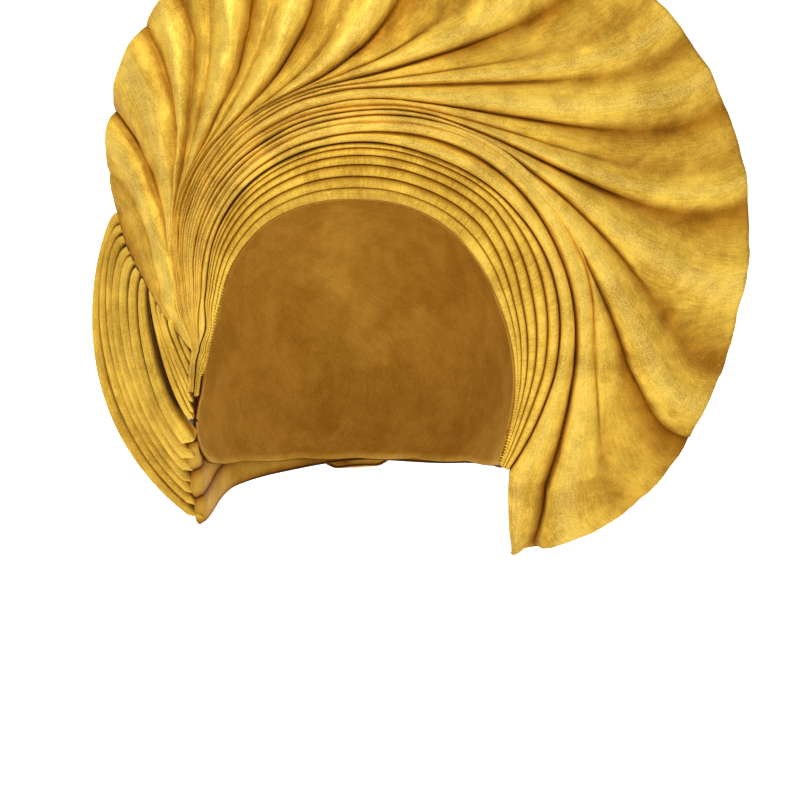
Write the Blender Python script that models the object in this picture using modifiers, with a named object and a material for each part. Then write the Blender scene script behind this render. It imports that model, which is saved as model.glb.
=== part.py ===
"""A tied gele head tie: one long stiff cloth, pleated across the brow, gathered at the left temple,
swept over the head in a wide ruffled fan, and held by a wrap and a knot at the nape.

The frame is the wearer's: +Z is up, -Y is where the face looks, and +X is the wearer's left hand side,
which is on the right of a front view. The origin is the inside of the crown, where the tie sits on the head.
Clock angles are read from the front, 0 at the top of the brow and growing towards +X.
"""

import math

import bmesh
import bpy
import numpy as np

# Head that the tie goes on, measured to the inside of the cap.
HEAD_HALF_WIDTH = 0.077
HEAD_HALF_LENGTH = 0.097
HEAD_HALF_HEIGHT = 0.100

# Cloth walls and the clearance between pieces.
CAP_WALL = 0.0016
CLOTH_WALL = 0.0018
SIDE_WALL = 0.0015
WRAP_WALL = 0.0022
FIT_GAP = 0.0003
CHORD_SLACK = 0.0004

# Fan, measured from the centre of the head.
FAN_RISE = 0.212
FAN_DROP = 0.090
FAN_LEFT = 0.113
FAN_RIGHT = 0.184
RIM_LEAD = 0.050
RIM_SWEEP = 0.075
BROW_SWELL = 0.012
GATHER_WIDTH = 0.006
SLANT_BOW = 0.005

# How the brow swells forward: its middle and spread round the face, and how early it rises.
SWELL_CLOCK = 25.0
SWELL_SPREAD = 0.8
SWELL_EARLY = 0.6

# How the slanting edge hastens away from the gather.
SLANT_HASTE = 1.15

# Folds: heights, how narrow a crease is, and how far the crests lean towards the brow.
CREASE_TIGHTNESS = 2.5
FOLD_LEAN = 1.7
FOLD_RISE = 0.013
BROW_GROOVE = 0.0009
TEMPLE_GROOVE = 0.0024
GROOVE_LIMIT = 0.35
CORD_RISE = 0.0022
WRAP_RISE = 0.0016

# Side pleats: how they start under the fan's slanting edge, lean back and come in to their ends.
SIDE_TUCK = 0.0012
SIDE_TOP_SHARE = 0.97
SIDE_TOP_SPREAD = 0.09
SIDE_CLIMB = -1.3
SIDE_CLIMB_EASE = 0.4
SIDE_LEAN = 0.9
SIDE_TOP_DROP = 0.25
SIDE_END_DROP = 0.3

# Wrap and knot.
WRAP_END = 0.965
KNOT_WIDTH = 0.046
KNOT_HEIGHT = 0.040
KNOT_DEPTH = 0.015
KNOT_WAIST = 0.75
KNOT_LOBE = 0.12

# Clock angles, in degrees, of the main places round the face.
BAND_START_CLOCK = -92.0
GATHER_CLOCK = -77.0
FAN_START_CLOCK = -74.0
NECK_CLOCK = -60.0
NOTCH_CLOCK = -54.0
EAR_CLOCK = 118.0
CORNER_CLOCK = 136.0

# Numbers of faces.
FAN_STEPS = 20
FOLD_STEPS = (2, 5)
FOLD_FACET = 0.010
GATHER_STEPS = 4
GROOVE_STEPS = 2
CORD_STEPS = 3
SIDE_ROWS = 10
CAP_COLUMNS = 34
CAP_ROWS = 8
WRAP_COLUMNS = 24
WRAP_FOLDS = 3
WRAP_STEPS = 4
KNOT_STEPS = 10

# Opening round the face: clock, across and up, as shares of the head's half width and half height.
OPENING = (
    (-92, -0.872, -0.140),
    (-85, -0.850, -0.038),
    (-77, -0.828, 0.055),
    (-62, -0.765, 0.230),
    (-45, -0.675, 0.445),
    (-30, -0.500, 0.610),
    (-15, -0.250, 0.700),
    (0, 0.025, 0.725),
    (15, 0.300, 0.700),
    (30, 0.550, 0.610),
    (45, 0.735, 0.460),
    (60, 0.855, 0.280),
    (75, 0.935, 0.095),
    (90, 0.965, -0.090),
    (105, 0.935, -0.285),
    (118, 0.875, -0.450),
)

# Rim of the fan: clock, across as a share of the left or right reach, up as a share of the rise or
# the drop, and back as a share of the sweep.
RIM = (
    (-54, -0.972, 0.334, 0.56),
    (-47, -1.000, 0.457, 0.56),
    (-40, -0.974, 0.579, 0.53),
    (-30, -0.836, 0.736, 0.37),
    (-20, -0.608, 0.862, 0.21),
    (-10, -0.316, 0.950, 0.08),
    (0, 0.009, 0.992, 0.00),
    (10, 0.221, 0.995, 0.00),
    (20, 0.430, 0.957, 0.05),
    (30, 0.621, 0.876, 0.13),
    (40, 0.784, 0.757, 0.21),
    (50, 0.905, 0.609, 0.31),
    (60, 0.980, 0.442, 0.40),
    (70, 0.996, 0.268, 0.48),
    (80, 0.970, 0.103, 0.56),
    (90, 0.921, -0.106, 0.63),
    (100, 0.848, -0.410, 0.68),
    (110, 0.754, -0.664, 0.75),
    (120, 0.634, -0.849, 0.83),
    (130, 0.496, -0.951, 0.93),
    (136, 0.424, -0.998, 1.00),
)

# Top line of the brow band: clock, and the share of the way from the opening to the rim.
BAND_TOP = (
    (-92, 0.30),
    (-77, 0.30),
    (-74, 0.16),
    (-60, 0.11),
    (-40, 0.14),
    (-20, 0.16),
    (0, 0.17),
    (20, 0.163),
    (40, 0.18),
    (60, 0.20),
    (80, 0.185),
    (100, 0.135),
    (118, 0.07),
    (126, 0.02),
    (136, 0.0),
)

# Grooves between the layers of the brow band: shares of the band's width over the brow, and by the
# temple, the cheek and the ear on the +X side, where the layers run off the edge one after another.
GROOVES = (
    # brow, temple, cheek, ear
    (0.18, 0.12, 0.07, 0.03),
    (0.38, 0.22, 0.14, 0.08),
    (0.59, 0.36, 0.27, 0.16),
    (0.76, 0.56, 0.46, 0.30),
    (0.90, 0.79, 0.70, 0.52),
)
GROOVE_CLOCKS = (38.0, 62.0, 84.0, 108.0)

# Valleys of the fan, from the brow outwards. Shares run from the opening to the rim: at the gather, at
# the neck beside it, and at the knee where the valley turns up towards the rim, which it leaves at the
# exit clock. The turn is a rounder or squarer arc, and the crease is shallow or deep.
VALLEYS = (
    # gather, neck, knee clock, knee share, exit clock, squareness, crease depth, rise per width
    (0.21, 0.150, 80, 0.268, 132, 2.7, 1.00, 0.34),
    (0.23, 0.160, 70, 0.330, 114, 2.2, 0.45, 0.30),
    (0.25, 0.175, 25, 0.250, 99, 2.2, 0.90, 0.34),
    (0.27, 0.200, 22, 0.268, 86, 1.9, 0.45, 0.30),
    (0.28, 0.220, 15, 0.278, 65, 2.2, 1.00, 0.40),
    (0.30, 0.245, 12, 0.292, 59, 2.1, 0.50, 0.30),
    (0.32, 0.265, 8, 0.307, 53, 2.05, 0.95, 0.36),
    (0.34, 0.285, 0, 0.340, 44, 2.0, 0.80, 0.34),
    (0.36, 0.300, -5, 0.350, 37, 2.1, 0.45, 0.30),
    (0.38, 0.315, -10, 0.358, 30, 2.1, 1.00, 0.38),
    (0.39, 0.323, -14, 0.360, 20, 2.2, 0.50, 0.32),
    (0.40, 0.330, -18, 0.362, 9, 2.5, 1.00, 0.36),
    (0.42, 0.343, -22, 0.370, 2, 2.4, 0.45, 0.28),
    (0.44, 0.355, -32, 0.380, -4, 2.6, 1.00, 0.36),
    (0.46, 0.368, -36, 0.392, -8.5, 2.2, 0.40, 0.28),
    (0.48, 0.380, -42, 0.395, -14, 2.5, 1.00, 0.36),
    (0.50, 0.390, -50, 0.398, -20, 2.4, 0.45, 0.28),
    (0.53, 0.402, -56, 0.404, -24, 2.5, 0.90, 0.34),
    (0.56, 0.415, -58, 0.415, -30, 2.8, 0.70, 0.30),
    (0.62, 0.435, -60, 0.435, -41.5, 2.4, 1.00, 0.34),
    (0.90, 0.690, -58, 0.660, -49, 3.0, 0.70, 0.26),
    (1.00, 1.000, -55, 1.000, -54, 2.0, 1.00, 0.20),
)

# Ends of the side pleats beside the face, from the outermost pleat (0) to the innermost (1): across,
# back and up as shares of the head's half sizes.
SIDE_ENDS = (
    (0.00, -0.890, 0.150, -0.725),
    (0.20, -0.910, 0.000, -0.556),
    (0.44, -0.900, -0.300, -0.343),
    (0.50, -0.895, -0.370, -0.270),
    (0.66, -0.890, -0.420, -0.198),
    (0.85, -0.890, -0.455, -0.090),
    (1.00, -0.885, -0.470, 0.040),
)

# Pulls that bow the side pleats, as shares of each pleat's length: across and up at its top under the
# fan, and across and up at its end beside the face.
SIDE_PULLS = (
    (0.00, -0.046, 0.156, 0.578, -0.403),
    (0.14, -0.124, 0.229, 0.498, -0.420),
    (0.28, -0.140, 0.262, 0.470, -0.480),
    (0.42, -0.181, 0.290, 0.378, -0.420),
    (0.50, -0.235, 0.370, 0.256, -0.270),
    (0.67, -0.405, 0.428, 0.159, -0.371),
    (0.85, -0.560, 0.378, 0.150, -0.450),
    (1.00, -0.600, 0.300, 0.120, -0.300),
)

# Bundles of the side pleats: name, first and last place across them, and how many pleats.
BUNDLES = (
    ("side_pleats_outer", 0.000, 0.485, 7),
    ("side_pleats_middle", 0.515, 0.655, 2),
    ("side_pleats_inner", 0.685, 1.000, 4),
)

# Lower edge of the cap behind the ears and round the nape: across, back and up, as shares.
NAPE = (
    (0.87, 0.15, -0.47),
    (0.70, 0.55, -0.46),
    (0.36, 0.81, -0.45),
    (0.00, 0.89, -0.45),
    (-0.36, 0.81, -0.45),
    (-0.70, 0.55, -0.46),
    (-0.88, 0.10, -0.45),
    (-0.92, -0.22, -0.30),
)

# Edges of the nape wrap, from behind the ear on the +X side (0) to the ends of the side pleats (1), as
# shares of the head's half sizes: its lower edge, then its upper edge.
WRAP_EDGES = (
    # place, lower across, back, up, upper across, back, up
    (0.00, 0.870, 0.150, -0.470, 0.960, 0.180, -0.150),
    (0.25, 0.690, 0.570, -0.460, 0.770, 0.620, -0.110),
    (0.50, 0.000, 0.890, -0.450, 0.000, 0.990, -0.100),
    (0.75, -0.700, 0.600, -0.560, -0.790, 0.570, -0.170),
    (1.00, -0.890, 0.150, -0.725, -0.900, -0.300, -0.343),
)

# Way that the gathered cloth is stacked, out from the head at the left temple.
GATHER_WAY = np.array([-0.80, 0.55, 0.20])

# Way that the fan's slanting edge bows between the gather and the notch.
SLANT_BOW_WAY = np.array([-0.85, 0.0, -0.53])

GOLD = (0.72, 0.45, 0.10, 1.0)
DEEP_GOLD = (0.55, 0.33, 0.07, 1.0)


def through(rows):
    """A smooth curve through a table: the first column is where, the others are the values there."""
    knots = np.array([row[0] for row in rows], float)
    values = np.array([row[1:] for row in rows], float)
    slopes = np.gradient(values, knots, axis=0)

    def at(where):
        where = np.clip(np.asarray(where, float), knots[0], knots[-1])
        index = np.clip(np.searchsorted(knots, where, side="right") - 1, 0, len(knots) - 2)
        span = (knots[index + 1] - knots[index])[..., None]
        u = (where - knots[index])[..., None] / span
        start = (1 + 2 * u) * (1 - u) ** 2 * values[index] + u * (1 - u) ** 2 * span * slopes[index]
        end = u * u * (3 - 2 * u) * values[index + 1] + u * u * (u - 1) * span * slopes[index + 1]
        return start + end

    return at


OPENING_AT = through(OPENING)
RIM_AT = through(RIM)
BAND_TOP_AT = through(BAND_TOP)
SIDE_ENDS_AT = through(SIDE_ENDS)
SIDE_PULLS_AT = through(SIDE_PULLS)
WRAP_EDGES_AT = through(WRAP_EDGES)


def head_axes(outside):
    """Half sizes of the head's egg, a distance outside it."""
    return np.array([HEAD_HALF_WIDTH, HEAD_HALF_LENGTH, HEAD_HALF_HEIGHT]) + outside


def on_head(shares, outside):
    """Points from shares of the head's half sizes, a distance outside the head."""
    return shares * head_axes(outside) + np.array([0.0, 0.0, -HEAD_HALF_HEIGHT])


def opening_shares(clock):
    """Unit shares of the opening's edge, which lies on the head."""
    flat = OPENING_AT(clock)
    across, up = flat[..., 0], flat[..., 1]
    back = -np.sqrt(np.maximum(1 - across**2 - up**2, 0.0))
    return np.stack([across, back, up], axis=-1)


def rim_table_point(clock):
    """A point of the rim from its table."""
    across, up, back = np.moveaxis(RIM_AT(clock), -1, 0)
    x = across * np.where(across < 0, FAN_LEFT, FAN_RIGHT)
    z = up * np.where(up < 0, FAN_DROP, FAN_RISE) - HEAD_HALF_HEIGHT
    return np.stack([x, RIM_SWEEP * back - RIM_LEAD, z], axis=-1)


def opening_point(clock):
    """The fan's inner edge: on the cap round the face, then a free edge down to the lower corner."""
    clock = np.asarray(clock, float)
    seat = on_head(opening_shares(np.minimum(clock, EAR_CLOCK)), CAP_WALL + FIT_GAP + CHORD_SLACK)
    past_ear = np.clip((clock - EAR_CLOCK) / (CORNER_CLOCK - EAR_CLOCK), 0, 1)[..., None]
    return seat + (rim_table_point(CORNER_CLOCK) - seat) * past_ear


def rim_point(clock):
    """The fan's outer edge: a slanting edge from the gather to the notch, then the ruffled rim."""
    clock = np.asarray(clock, float)
    gather = opening_point(np.minimum(clock, GATHER_CLOCK)) + GATHER_WIDTH * GATHER_WAY
    climb = np.clip((clock - GATHER_CLOCK) / (NOTCH_CLOCK - GATHER_CLOCK), 0, 1) ** SLANT_HASTE
    slant = gather + (rim_table_point(NOTCH_CLOCK) - gather) * climb[..., None]
    slant = slant + SLANT_BOW * (4 * climb * (1 - climb))[..., None] * SLANT_BOW_WAY
    return np.where((clock < NOTCH_CLOCK)[..., None], slant, rim_table_point(clock))


def fan_base(clock, share):
    """The smooth back of the fan, under its folds."""
    clock = np.asarray(clock, float)
    share = np.asarray(share, float)
    inner = opening_point(clock)
    outer = rim_point(clock)
    point = inner + (outer - inner) * share[..., None]
    swell = np.maximum(np.cos(np.radians(SWELL_SPREAD * (clock - SWELL_CLOCK))), 0.0)
    early = np.clip(share, 0, 1) ** SWELL_EARLY
    point[..., 1] -= BROW_SWELL * swell * 4 * early * (1 - early)
    return point


def unit(vectors):
    """Vectors made one long."""
    return vectors / np.linalg.norm(vectors, axis=-1, keepdims=True)


def facing(along, across):
    """Unit normals of a surface, turned to the front."""
    normal = np.cross(along, across)
    normal = normal / np.linalg.norm(normal, axis=-1, keepdims=True)
    return normal * np.where(normal[..., 1] > 0, -1.0, 1.0)[..., None]


def fan_normal(clock, share):
    """Which way the fan's smooth surface faces."""
    around = fan_base(clock + 0.5, share) - fan_base(clock - 0.5, share)
    inside = np.clip(share - 0.01, 0.005, 0.98)
    return facing(around, fan_base(clock, inside + 0.01) - fan_base(clock, inside))


def fold_way(clock, share):
    """Which way the folds rise: off the surface, and at the rim only forwards, so the outline stays smooth."""
    normal = fan_normal(clock, share)
    outwards = fan_base(clock, share) - np.array([0.0, 0.0, -HEAD_HALF_HEIGHT])
    outwards[..., 1] = 0.0
    outwards = unit(outwards)
    lean = np.sum(normal * outwards, axis=-1, keepdims=True)
    return normal - outwards * lean * (np.clip(share, 0, 1) ** 2)[..., None]


def spaced(path_clock, path_share, steps):
    """Even steps along a path on the fan, as clock angles and shares."""
    points = fan_base(path_clock, path_share)
    lengths = np.linalg.norm(np.diff(points, axis=0), axis=1)
    travelled = np.concatenate([[0.0], np.cumsum(lengths)])
    stops = np.linspace(0, travelled[-1], steps + 1)
    return np.interp(stops, travelled, path_clock), np.interp(stops, travelled, path_share)


def valley_path(row, steps):
    """One valley of the fan, from the gather to the rim."""
    gather, neck, knee_clock, knee, exit_clock, square = row[:6]
    neck_clock = min(NECK_CLOCK, knee_clock)
    clocks = [np.linspace(FAN_START_CLOCK, neck_clock, 12)]
    shares = [np.linspace(gather, neck, 12)]
    clocks.append(np.linspace(neck_clock, knee_clock, 30))
    shares.append(np.linspace(neck, knee, 30))
    turn = np.linspace(0, math.pi / 2, 90)
    clocks.append(knee_clock + (exit_clock - knee_clock) * np.sin(turn) ** (2 / square))
    shares.append(knee + (1 - knee) * (1 - np.clip(np.cos(turn), 0, 1) ** (2 / square)))
    return spaced(np.concatenate(clocks), np.concatenate(shares), steps)


def band_top_path(steps):
    """The fan's lowest line, along the top of the brow band and down to the lower corner."""
    clock = np.linspace(FAN_START_CLOCK, CORNER_CLOCK, 200)
    return spaced(clock, BAND_TOP_AT(clock)[..., 0], steps)


def hollow(phase, first, second):
    """How far two creases pull down the cloth between them."""
    return first * (1 - phase) ** CREASE_TIGHTNESS + second * phase**CREASE_TIGHTNESS


def fan_grids(steps):
    """Back and front of the fan: rows across the folds, columns from the gather to the rim."""
    paths = [band_top_path(steps)] + [valley_path(row, steps) for row in VALLEYS]
    clocks = np.array([path[0] for path in paths])
    shares = np.array([path[1] for path in paths])
    creases = np.array([1.0] + [row[6] for row in VALLEYS])
    rises = np.array([VALLEYS[0][7]] + [row[7] for row in VALLEYS])
    widths = np.linalg.norm(np.diff(fan_base(clocks, shares), axis=0), axis=2)
    mean = np.concatenate([widths[:1], (widths[1:] + widths[:-1]) / 2, widths[-1:]])
    height = FOLD_RISE * np.tanh(rises[:, None] * mean / FOLD_RISE)
    backs = []
    fronts = []
    for k in range(len(paths) - 1):
        last = k == len(paths) - 2
        fold_steps = int(np.clip(round(widths[k].max() / FOLD_FACET), *FOLD_STEPS))
        for turn in np.linspace(0, 1, fold_steps + 1)[: fold_steps + last]:
            phase = turn**FOLD_LEAN
            clock = clocks[k] + (clocks[k + 1] - clocks[k]) * phase
            share = shares[k] + (shares[k + 1] - shares[k]) * phase
            rise = height[k] + (height[k + 1] - height[k]) * phase
            rise = rise * (1 - hollow(turn, creases[k], creases[k + 1]))
            back = fan_base(clock, share) + fold_way(clock, share) * rise[:, None]
            backs.append(back)
            fronts.append(back + fan_normal(clock, share) * CLOTH_WALL)
    return np.array(backs), np.array(fronts)


def groove_shares(clock):
    """Where the band's grooves lie at each clock angle, as shares of its width."""
    return np.array([np.interp(clock, GROOVE_CLOCKS, row) for row in GROOVES])


def band_grids(steps, groove_steps):
    """Back and front of the brow band: rows across its layers, columns at the fan's own steps."""
    clock = band_top_path(steps)[0]
    hem = np.linspace(BAND_START_CLOCK, FAN_START_CLOCK, GATHER_STEPS, endpoint=False)
    clock = np.concatenate([hem, clock[clock <= EAR_CLOCK]])
    top = BAND_TOP_AT(clock)[..., 0]
    width = np.linalg.norm(fan_base(clock, top) - fan_base(clock, 0 * top), axis=1)
    top = top * (1 - FIT_GAP / width)
    lines = np.vstack([0 * clock, groove_shares(clock), 0 * clock + 1])
    depth = np.interp(clock, GROOVE_CLOCKS, (BROW_GROOVE, TEMPLE_GROOVE, TEMPLE_GROOVE, TEMPLE_GROOVE))
    backs = []
    fronts = []
    for k in range(len(lines) - 1):
        last = k == len(lines) - 2
        layer = (lines[k + 1] - lines[k]) * width
        rise = np.minimum(depth, GROOVE_LIMIT * layer)
        for turn in np.linspace(0, 1, groove_steps + 1)[: groove_steps + last]:
            share = top * (lines[k] + (lines[k + 1] - lines[k]) * turn**FOLD_LEAN)
            normal = fan_normal(clock, share)
            back = fan_base(clock, share)
            lift = rise * (1 - hollow(turn, 1.0, 1.0)) + CLOTH_WALL
            backs.append(back)
            fronts.append(back + normal * lift[:, None])
    return np.array(backs), np.array(fronts)


def clear_of_head(points):
    """Points moved straight out of the head until they clear the cap."""
    centre = np.array([0.0, 0.0, -HEAD_HALF_HEIGHT])
    offset = points - centre
    level = np.linalg.norm(offset / head_axes(CAP_WALL + FIT_GAP + CHORD_SLACK), axis=-1, keepdims=True)
    return centre + offset / np.minimum(level, 1.0)


def side_base(place, along):
    """The smooth back of the side pleats: place goes across them, along runs from top to end."""
    place = np.asarray(place, float)
    climb = 1 + SIDE_CLIMB * place + SIDE_CLIMB_EASE * place**2
    clock = GATHER_CLOCK + (NOTCH_CLOCK - GATHER_CLOCK) * climb ** (1 / SLANT_HASTE)
    under = SIDE_TOP_SHARE - SIDE_TOP_SPREAD * np.sqrt(place)
    behind = SIDE_TUCK + FIT_GAP + SIDE_WALL + CORD_RISE
    top = fan_base(clock, under) - fan_normal(clock, under) * behind
    end = on_head(SIDE_ENDS_AT(place), CAP_WALL + FIT_GAP + CHORD_SLACK)
    length = np.linalg.norm(end - top, axis=-1)
    pulls = SIDE_PULLS_AT(place) * length[..., None]
    drop = end[..., 1] - top[..., 1]
    back = top[..., 1] + SIDE_TOP_DROP * drop + SIDE_LEAN * pulls[..., 1]
    after_top = np.stack([top[..., 0] + pulls[..., 0], back, top[..., 2] + pulls[..., 1]], -1)
    front = end[..., 1] - SIDE_END_DROP * drop
    before_end = np.stack([end[..., 0] - pulls[..., 2], front, end[..., 2] - pulls[..., 3]], -1)
    s = np.asarray(along, float)[..., None]
    point = (1 - s) ** 3 * top + 3 * s * (1 - s) ** 2 * after_top
    point = point + 3 * s * s * (1 - s) * before_end + s**3 * end
    return clear_of_head(point)


def side_grids(first, last, pleats, rows, cord_steps):
    """Back and front of one bundle of side pleats."""
    along = np.linspace(0, 1, rows + 1)
    count = pleats * cord_steps
    backs = []
    fronts = []
    for j in range(count + 1):
        place = first + (last - first) * j / count + 0 * along
        phase = (j % cord_steps) / cord_steps
        back = side_base(place, along)
        ahead = side_base(place, np.minimum(along + 0.01, 1)) - side_base(place, np.maximum(along - 0.01, 0))
        beside = side_base(np.clip(place + 0.01, 0, 1), along) - side_base(np.clip(place - 0.01, 0, 1), along)
        normal = facing(ahead, beside)
        back = back + normal * CORD_RISE * (1 - hollow(phase, 1.0, 1.0))
        backs.append(back)
        fronts.append(back + normal * SIDE_WALL)
    return np.array(backs), np.array(fronts)


def turned(start, end, share):
    """Unit vectors part of the way round the arc between two unit vectors."""
    angle = np.arccos(np.clip(np.sum(start * end, axis=-1), -1, 1))[..., None]
    return (np.sin((1 - share) * angle) * start + np.sin(share * angle) * end) / np.sin(angle)


def edge_loop(count):
    """Unit shares round the whole lower edge of the cap, starting at the left gather."""
    front = opening_shares(np.linspace(BAND_START_CLOCK, EAR_CLOCK, 60))
    loop = np.vstack([front, np.array(NAPE), front[:1]])
    loop = unit(loop)
    lengths = np.linalg.norm(np.diff(loop, axis=0), axis=1)
    travelled = np.concatenate([[0.0], np.cumsum(lengths)])
    stops = np.linspace(0, travelled[-1], count, endpoint=False)
    return unit(np.stack([np.interp(stops, travelled, loop[:, i]) for i in range(3)], axis=1))


def new_material(name, colour, roughness):
    """A plain cloth colour."""
    material = bpy.data.materials.new(name)
    material.use_nodes = True
    shader = material.node_tree.nodes["Principled BSDF"]
    shader.inputs["Base Color"].default_value = colour
    shader.inputs["Roughness"].default_value = roughness
    shader.inputs["Metallic"].default_value = 0.35
    return material


def new_object(name, shape, material, collection):
    """An object from a bmesh, with its faces turned outwards."""
    bmesh.ops.recalc_face_normals(shape, faces=shape.faces)
    mesh = bpy.data.meshes.new(name)
    shape.to_mesh(mesh)
    shape.free()
    mesh.shade_smooth()
    mesh.set_sharp_from_angle(angle=math.radians(50))
    mesh.materials.append(material)
    made = bpy.data.objects.new(name, mesh)
    collection.objects.link(made)
    return made


def grid_faces(shape, grid, close_round=False):
    """Vertices and faces of one grid of points."""
    rows = [[shape.verts.new(point) for point in row] for row in grid]
    if close_round:
        rows.append(rows[0])
    for near, far in zip(rows, rows[1:]):
        for i in range(len(near) - 1):
            shape.faces.new((near[i], near[i + 1], far[i + 1], far[i]))
    return rows


def border(rows):
    """The vertices round a grid, in order."""
    right = [row[-1] for row in rows[1:]]
    left = [row[0] for row in rows[1:-1]]
    return rows[0] + right + rows[-1][-2::-1] + left[::-1]


def pleated_sheet(name, grids, material, collection):
    """A closed wall between a back grid and a front grid, so that tight folds keep their thickness."""
    shape = bmesh.new()
    back = border(grid_faces(shape, grids[0]))
    front = border(grid_faces(shape, grids[1]))
    for i in range(len(back)):
        j = (i + 1) % len(back)
        shape.faces.new((back[i], back[j], front[j], front[i]))
    return new_object(name, shape, material, collection)


def crown_cap(material, collection):
    """The plain cap over the head: an open egg with its wall outside."""
    edge = edge_loop(CAP_COLUMNS)
    crown = np.array([0.0, 0.0, 1.0]) + 0 * edge
    shape = bmesh.new()
    grid = [on_head(turned(crown, edge, row / CAP_ROWS), 0.0) for row in range(1, CAP_ROWS + 1)]
    rows = grid_faces(shape, np.swapaxes(np.array(grid), 0, 1), close_round=True)
    top = shape.verts.new(on_head(np.array([0.0, 0.0, 1.0]), 0.0))
    for near, far in zip(rows, rows[1:]):
        shape.faces.new((top, near[0], far[0]))
    cap = new_object("crown_cap", shape, material, collection)
    wall = cap.modifiers.new("wall", "SOLIDIFY")
    wall.thickness = CAP_WALL
    wall.offset = 1.0
    return cap


def wrap_point(place, climb, outside):
    """Points of the nape wrap: place goes round the nape, climb from its lower to its upper edge."""
    edges = WRAP_EDGES_AT(place)
    shares = edges[..., :3] + (edges[..., 3:] - edges[..., :3]) * climb
    shares = shares / np.minimum(np.linalg.norm(shares, axis=-1, keepdims=True), 1.0)
    return on_head(shares, CAP_WALL + FIT_GAP + CHORD_SLACK + outside)


def nape_wrap(material, collection):
    """The folded end of the cloth, wrapped round the nape from one ear to the side pleats."""
    place = np.linspace(0, WRAP_END, WRAP_COLUMNS + 1)
    count = WRAP_FOLDS * WRAP_STEPS
    rows = []
    for j in range(count + 1):
        phase = (j % WRAP_STEPS) / WRAP_STEPS
        rows.append(wrap_point(place, j / count, WRAP_RISE * (1 - hollow(phase, 1.0, 1.0))))
    shape = bmesh.new()
    grid_faces(shape, np.array(rows))
    made = new_object("nape_wrap", shape, material, collection)
    wall = made.modifiers.new("wall", "SOLIDIFY")
    wall.thickness = WRAP_WALL
    wall.offset = 1.0
    return made


def knot_grids(steps):
    """Back and front of the knot: a lobed dome seated on the wrap at the middle of the nape."""
    middle = wrap_point(np.linspace(0, 1, 60), 0.5, 0.0)
    round_nape = np.linalg.norm(np.diff(middle, axis=0), axis=1).sum()
    tall = np.linalg.norm(wrap_point(0.5, 1.0, 0.0) - wrap_point(0.5, 0.0, 0.0))
    seat = WRAP_RISE + WRAP_WALL + FIT_GAP
    across = np.linspace(-1, 1, steps + 1)
    backs = []
    fronts = []
    for v in np.linspace(-1, 1, steps + 1):
        place = 0.5 + across * math.sqrt(1 - KNOT_WAIST * v * v) * KNOT_WIDTH / 2 / round_nape
        climb = 0.5 + v * KNOT_HEIGHT / 2 / tall
        dome = (1 - v * v) * (1 - across**2) * (1 + KNOT_LOBE * np.cos(3 * math.pi * across))
        backs.append(wrap_point(place, climb, seat))
        fronts.append(wrap_point(place, climb, seat + CLOTH_WALL + KNOT_DEPTH * np.sqrt(dome)[:, None]))
    return np.array(backs), np.array(fronts)


def main():
    for old in list(bpy.data.objects):
        bpy.data.objects.remove(old, do_unlink=True)
    collection = bpy.data.collections.new("tied_gele_head_tie")
    bpy.context.scene.collection.children.link(collection)
    gold = new_material("gold_cloth", GOLD, 0.5)
    deep_gold = new_material("deep_gold_cloth", DEEP_GOLD, 0.6)
    crown_cap(deep_gold, collection)
    pleated_sheet("brow_band", band_grids(FAN_STEPS, GROOVE_STEPS), gold, collection)
    pleated_sheet("ruffled_fan", fan_grids(FAN_STEPS), gold, collection)
    for name, first, last, pleats in BUNDLES:
        grids = side_grids(first, last, pleats, SIDE_ROWS, CORD_STEPS)
        pleated_sheet(name, grids, gold, collection)
    nape_wrap(deep_gold, collection)
    pleated_sheet("nape_knot", knot_grids(KNOT_STEPS), gold, collection)


main()
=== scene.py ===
"""Tied gele head tie of stiff gold cloth: its pieces, their woven cloth and a small studio.

The frame is the wearer's: +Z is up, -Y is where the face looks, and +X is the wearer's left hand side,
which is on the right of a front view. The origin is the inside of the crown, where the tie sits on the head.
Clock angles are read from the front, 0 at the top of the brow and growing towards +X.
"""

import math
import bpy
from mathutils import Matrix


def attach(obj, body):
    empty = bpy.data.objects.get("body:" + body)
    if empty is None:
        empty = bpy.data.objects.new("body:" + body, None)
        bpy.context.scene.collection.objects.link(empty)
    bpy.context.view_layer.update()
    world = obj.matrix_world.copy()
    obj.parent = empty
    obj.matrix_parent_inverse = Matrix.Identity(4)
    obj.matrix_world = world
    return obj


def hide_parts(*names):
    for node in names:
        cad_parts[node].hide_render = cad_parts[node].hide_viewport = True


bl_info = {
    "name": "Tied Gele Head Tie",
    "version": (1, 0, 0),
    "blender": (4, 5, 0),
    "location": "View3D > Sidebar > Head Tie",
    "description": "Builds a tied gele head tie of stiff gold cloth, and the studio that it is shown in",
    "category": "Add Mesh",
}

import bmesh
import bpy
import numpy as np
from bpy.props import FloatProperty, FloatVectorProperty, IntProperty, PointerProperty
from bpy.types import Operator, Panel, PropertyGroup
from mathutils import Vector, noise

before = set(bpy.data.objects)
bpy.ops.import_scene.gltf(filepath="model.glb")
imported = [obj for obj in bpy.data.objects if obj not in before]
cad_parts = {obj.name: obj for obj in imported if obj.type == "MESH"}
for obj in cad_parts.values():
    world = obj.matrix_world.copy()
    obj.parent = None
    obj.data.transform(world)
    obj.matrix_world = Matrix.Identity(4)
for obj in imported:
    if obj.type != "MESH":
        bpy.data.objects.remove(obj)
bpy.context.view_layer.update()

# Head that the tie goes on, measured to the inside of the cap, and the walls and gaps that the frame has.
HEAD_HALF_WIDTH = 0.077
HEAD_HALF_LENGTH = 0.097
HEAD_HALF_HEIGHT = 0.100
CAP_WALL = 0.0016
CLOTH_WALL = 0.0018
SIDE_WALL = 0.0015
WRAP_WALL = 0.0022
FIT_GAP = 0.0003
CHORD_SLACK = 0.0004
ON_CAP = CAP_WALL + FIT_GAP + CHORD_SLACK
HEAD_CENTRE = np.array([0.0, 0.0, -HEAD_HALF_HEIGHT])

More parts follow.
